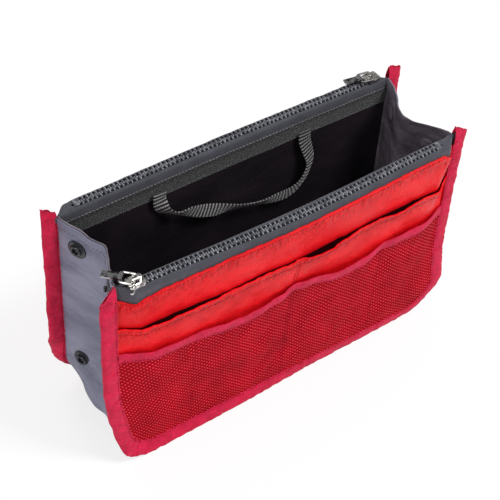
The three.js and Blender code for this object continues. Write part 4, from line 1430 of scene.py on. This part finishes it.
@dataclass
class Snaps:
    """The snaps on the gusset's flaps: sockets on the back flaps and studs on the front ones.

    They sit along mm from the seam. The flap's direction outwards has the sine and cosine flap.
    """

    along: float = 13.0
    flap: tuple[float, float] = (0.4107, 0.9118)

    HEIGHTS = {"lower": 50.0, "upper": 154.0}
    FLANGE = ((4.9, 0.9), (6.0, 1.0), (6.6, 0.7), (6.75, 0.3), (6.7, 0.02), (1.5, 0.0), (1.5, -1.6),
              (5.4, -1.62), (5.4, -1.7), (0.0, -1.7))
    SOCKET = ((0.0, 0.6), (1.7, 0.6), (2.0, 0.9), (2.2, 2.4), (2.7, 2.8), (3.6, 2.8), (4.1, 2.4), (4.3, 1.2),
              *FLANGE)
    STUD = ((0.0, 3.7), (1.2, 3.62), (1.9, 3.2), (2.0, 2.8), (1.75, 2.0), (2.1, 1.5), (3.8, 1.4), (4.2, 1.1),
            *FLANGE)
    CAP = ((0.0, -1.66), (5.8, -1.58), (6.0, -1.7), (6.0, -1.9), (5.2, -2.3), (3.0, -2.6), (0.0, -2.65))

    def build(self) -> None:
        """Turns each snap half about the flap's own direction outwards, its cap covered with lining."""
        sin, cos = self.flap
        for end in End:
            for side in Side:
                kind, profile = ("snap_stud", self.STUD) if side is Side.FRONT else ("snap_socket", self.SOCKET)
                body = f"{end.value}_gusset_{side.value}"
                x, y = end.sign * (SEAM_X - self.along * sin), -side.turn * (SEAM_Y - self.along * cos)
                axis = np.array([end.sign * cos, side.turn * sin, 0.0])
                for level, z in self.HEIGHTS.items():
                    snap, centre = f"{body}_{level}", np.array([x, y, z])
                    make(f"{snap}_{kind}_turned", lathe(profile, centre, axis), "snap_plastic_dark",
                         body, "snap_plastic", (f"{snap}_{kind}",), 30.0, 0.0)
                    make(f"{snap}_cap_cloth", lathe(self.CAP, centre, axis), "dark_gusset_lining",
                         body, "black_lining", give=0.0)


@dataclass
class Handle:
    """A webbing strap hung by its two ends inside a panel, a little twisted.

    Each knot gives x, out and z for the back handle, with out measured from y = 31, and the
    strap's tilt there in degrees.
    """

    side: Side
    width: float = 10.0
    thick: float = 1.2
    stations: int = 240

    KNOTS = (
        (-57.0, -0.6, 159.0, 0), (-57.2, -0.7, 152.0, 0), (-56.0, -2.2, 146.5, 30), (-50.0, -4.2, 141.4, 54),
        (-36.5, -5.0, 136.0, 14), (-25.0, -5.0, 130.8, -8), (-15.0, -5.0, 126.6, -2), (-5.2, -5.0, 123.1, 24),
        (9.7, -5.0, 118.3, 42), (21.5, -5.0, 115.0, 34), (32.2, -5.0, 113.1, 14), (43.9, -5.0, 112.4, 8),
        (53.3, -4.8, 116.5, 20), (59.0, -4.2, 123.8, 26), (62.0, -3.0, 132.5, 26), (60.0, -1.6, 142.0, 16),
        (57.2, -0.7, 152.0, 4), (57.0, -0.6, 159.0, 0),
    )

    def build(self) -> None:
        """Carries a ribbed flat section along the line through the knots.

        The section's wide way starts level, square to the line, and turns by the tilt about
        it; cross ribs of 2.8 mm pitch stand 0.12 mm proud.
        """
        knots = np.array(self.KNOTS)
        at = run_length(knots[:, :3])
        fine = np.linspace(0.0, at[-1], self.stations)
        line, tilt = np.split(np.stack([self.curve(fine, at, column) for column in knots.T], -1), [3], axis=1)
        tilt = np.radians(tilt)
        tangent = unit(np.gradient(line, axis=0))
        wide = unit(np.cross(np.broadcast_to([0.0, 1.0, 0.0], tangent.shape), tangent))
        across = wide * np.cos(tilt) + np.cross(tangent, wide) * np.sin(tilt)
        over = np.cross(tangent, across)
        turn = circle(20)
        u = rounded(np.cos(turn), 0.55) * self.width / 2.0
        v = rounded(np.sin(turn), 0.75) * self.thick / 2.0
        rib = 1.0 + 0.2 * np.sin(2.0 * np.pi * fine / RIB_PITCH)[:, None]
        rings = (line[:, None] + u[None, :, None] * across[:, None]
                 + (v[None, :] * rib)[..., None] * over[:, None])
        rings[..., 1] += SEAM_Y
        if self.side is Side.FRONT:
            rings = rings * np.array([-1.0, -1.0, 1.0])
        name = f"{self.side.value}_handle"
        strap = make(f"{name}_strap", tube(rings), "handle_webbing", name, "webbing", (name,))
        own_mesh(strap)

    @staticmethod
    def curve(x: Array, knots: Array, values: Array) -> Array:
        """A smooth curve through points: cubic pieces whose slopes join the points beside each."""
        slope = np.gradient(values, knots)
        i = np.clip(np.searchsorted(knots, x) - 1, 0, len(knots) - 2)
        h = knots[i + 1] - knots[i]
        t = (x - knots[i]) / h
        t2, t3 = t * t, t * t * t
        return ((2 * t3 - 3 * t2 + 1) * values[i] + (t3 - 2 * t2 + t) * h * slope[i]
                + (-2 * t3 + 3 * t2) * values[i + 1] + (t3 - t2) * h * slope[i + 1])


@dataclass
class Pulls:
    """The sliders with their links and tabs, which keep the frame's own shapes."""

    PLATING = {"slider_body": "chrome_plate", "pull_link": "chrome_plate", "pull_tab": "dark_steel"}

    def build(self) -> None:
        """Gives the frame's slider, link and tab of each zip their plating."""
        for side in Side:
            for part, plating in self.PLATING.items():
                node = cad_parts[f"{side.value}_{part}"]
                node.data.materials.clear()
                node.data.materials.append(finished(plating))
                LOG.info("%s: plated", node.name)


@dataclass
class Studio:
    """The pale floor, the soft lamps and the camera at the photograph's place."""

    place: Triple = (-0.40542, -0.51961, 0.78303)
    right: Triple = (0.82202, -0.56722, 0.05032)
    up: Triple = (0.37978, 0.61193, 0.69376)
    back: Triple = (-0.42431, -0.55118, 0.71845)
    focal: float = 1420.141
    image: float = 500.0
    sensor: float = 36.0
    floor_reach: float = 3.0
    looked_at: Triple = (0.0, 0.0, 0.08)

    WHITE = (1.0, 1.0, 1.0, 1.0)

    @staticmethod
    def put(name: str, data: bpy.types.ID, *columns: Array | Triple) -> bpy.types.Object:
        """Links data as an object whose axes and place are the columns."""
        item = bpy.data.objects.new(name, data)
        rows = [[column[k] for column in columns] for k in range(3)]
        item.matrix_world = Matrix(rows + [[0.0, 0.0, 0.0, 1.0]])
        bpy.context.scene.collection.objects.link(item)
        return item

    def camera(self) -> None:
        """Makes the camera. Its lens is the focal length in pixels over the image, times 36 mm."""
        data = bpy.data.cameras.new("camera")
        data.sensor_width = self.sensor
        data.lens = self.focal / self.image * self.sensor
        data.clip_start, data.clip_end = 0.05, 20.0
        bpy.context.scene.camera = self.put("camera", data, self.right, self.up, self.back, self.place)

    def lamp(self, name: str, at: Triple, size: float, power: float) -> None:
        """A square soft lamp that looks at the object's middle."""
        data = bpy.data.lights.new(name, "AREA")
        data.size, data.energy = size, power
        back = unit(np.array(at) - np.array(self.looked_at))
        right = unit(np.cross(UP, back))
        self.put(name, data, right, np.cross(back, right), back, at)

    def floor(self) -> None:
        """A wide pale floor that shows nearly white to the camera and keeps the shadow."""
        mesh = bpy.data.meshes.new("floor")
        far = self.floor_reach
        mesh.from_pydata([(-far, -far, 0.0), (far, -far, 0.0), (far, far, 0.0), (-far, far, 0.0)], [], [(0, 1, 2, 3)])
        floor = bpy.data.objects.new("floor", mesh)
        bpy.context.scene.collection.objects.link(floor)
        g = Graph(bpy.data.materials.new("floor_pale"), "ShaderNodeOutputMaterial")
        pale = g.shader(screen(244, 244, 245), 0.8, specular=0.2)
        glow = g.node("Emission", {"Color": self.WHITE, "Strength": 1.05})
        seen = g.times(g.node("LightPath", {}, "Is Camera Ray"), 0.72)
        g.surface(g.node("MixShader", {0: seen, 1: pale, 2: glow}))
        mesh.materials.append(g.owner)

    def world(self) -> None:
        """White behind the object for camera and transmission rays, and a plain grey light elsewhere."""
        bpy.context.scene.world = bpy.data.worlds.new("studio")
        g = Graph(bpy.context.scene.world, "ShaderNodeOutputWorld")
        light, seen = (g.node("Background", {"Color": self.WHITE, "Strength": power}) for power in (0.34, 1.0))
        clear = g.math("MAXIMUM", *(g.node("LightPath", {}, f"Is {ray} Ray") for ray in ("Camera", "Transmission")))
        g.surface(g.node("MixShader", {0: clear, 1: light, 2: seen}))

    def build(self) -> None:
        """Makes the whole studio."""
        self.camera()
        self.floor()
        self.world()
        self.lamp("key", (0.5, -0.75, 1.5), 0.5, 20.0)
        self.lamp("fill", (-1.3, -0.5, 0.9), 0.8, 6.0)
        self.lamp("top", (-0.2, 0.9, 1.5), 0.6, 7.0)
        bpy.context.scene.view_settings.view_transform = "Standard"


PANELS = (
    (PanelShape(Side.FRONT, bow=4.2, flare=(4.0, -2.0)),
     (Tip(174.0, 162.0, 0.5, 1.5), Tip(179.0, 171.0, 2.0, 0.0))),
    (PanelShape(Side.BACK, bow=1.5, flare=(1.0, 0.5)),
     (Tip(181.0, 177.0, 0.5, 0.5), Tip(175.0, 183.0, 0.0, 0.5))),
)


def main() -> None:
    """Builds the studio, then the insert piece by piece."""
    logging.basicConfig(level=logging.INFO, format="%(message)s")
    Studio().build()
    for shape, tips in PANELS:
        for part in (PanelCloth(shape), ZipTapes(shape), Binding(shape, tips), Handle(shape.side)):
            part.build()
    for part in (GussetStrip(), Snaps(), Pulls()):
        part.build()


if __name__ == "__main__":
    main()
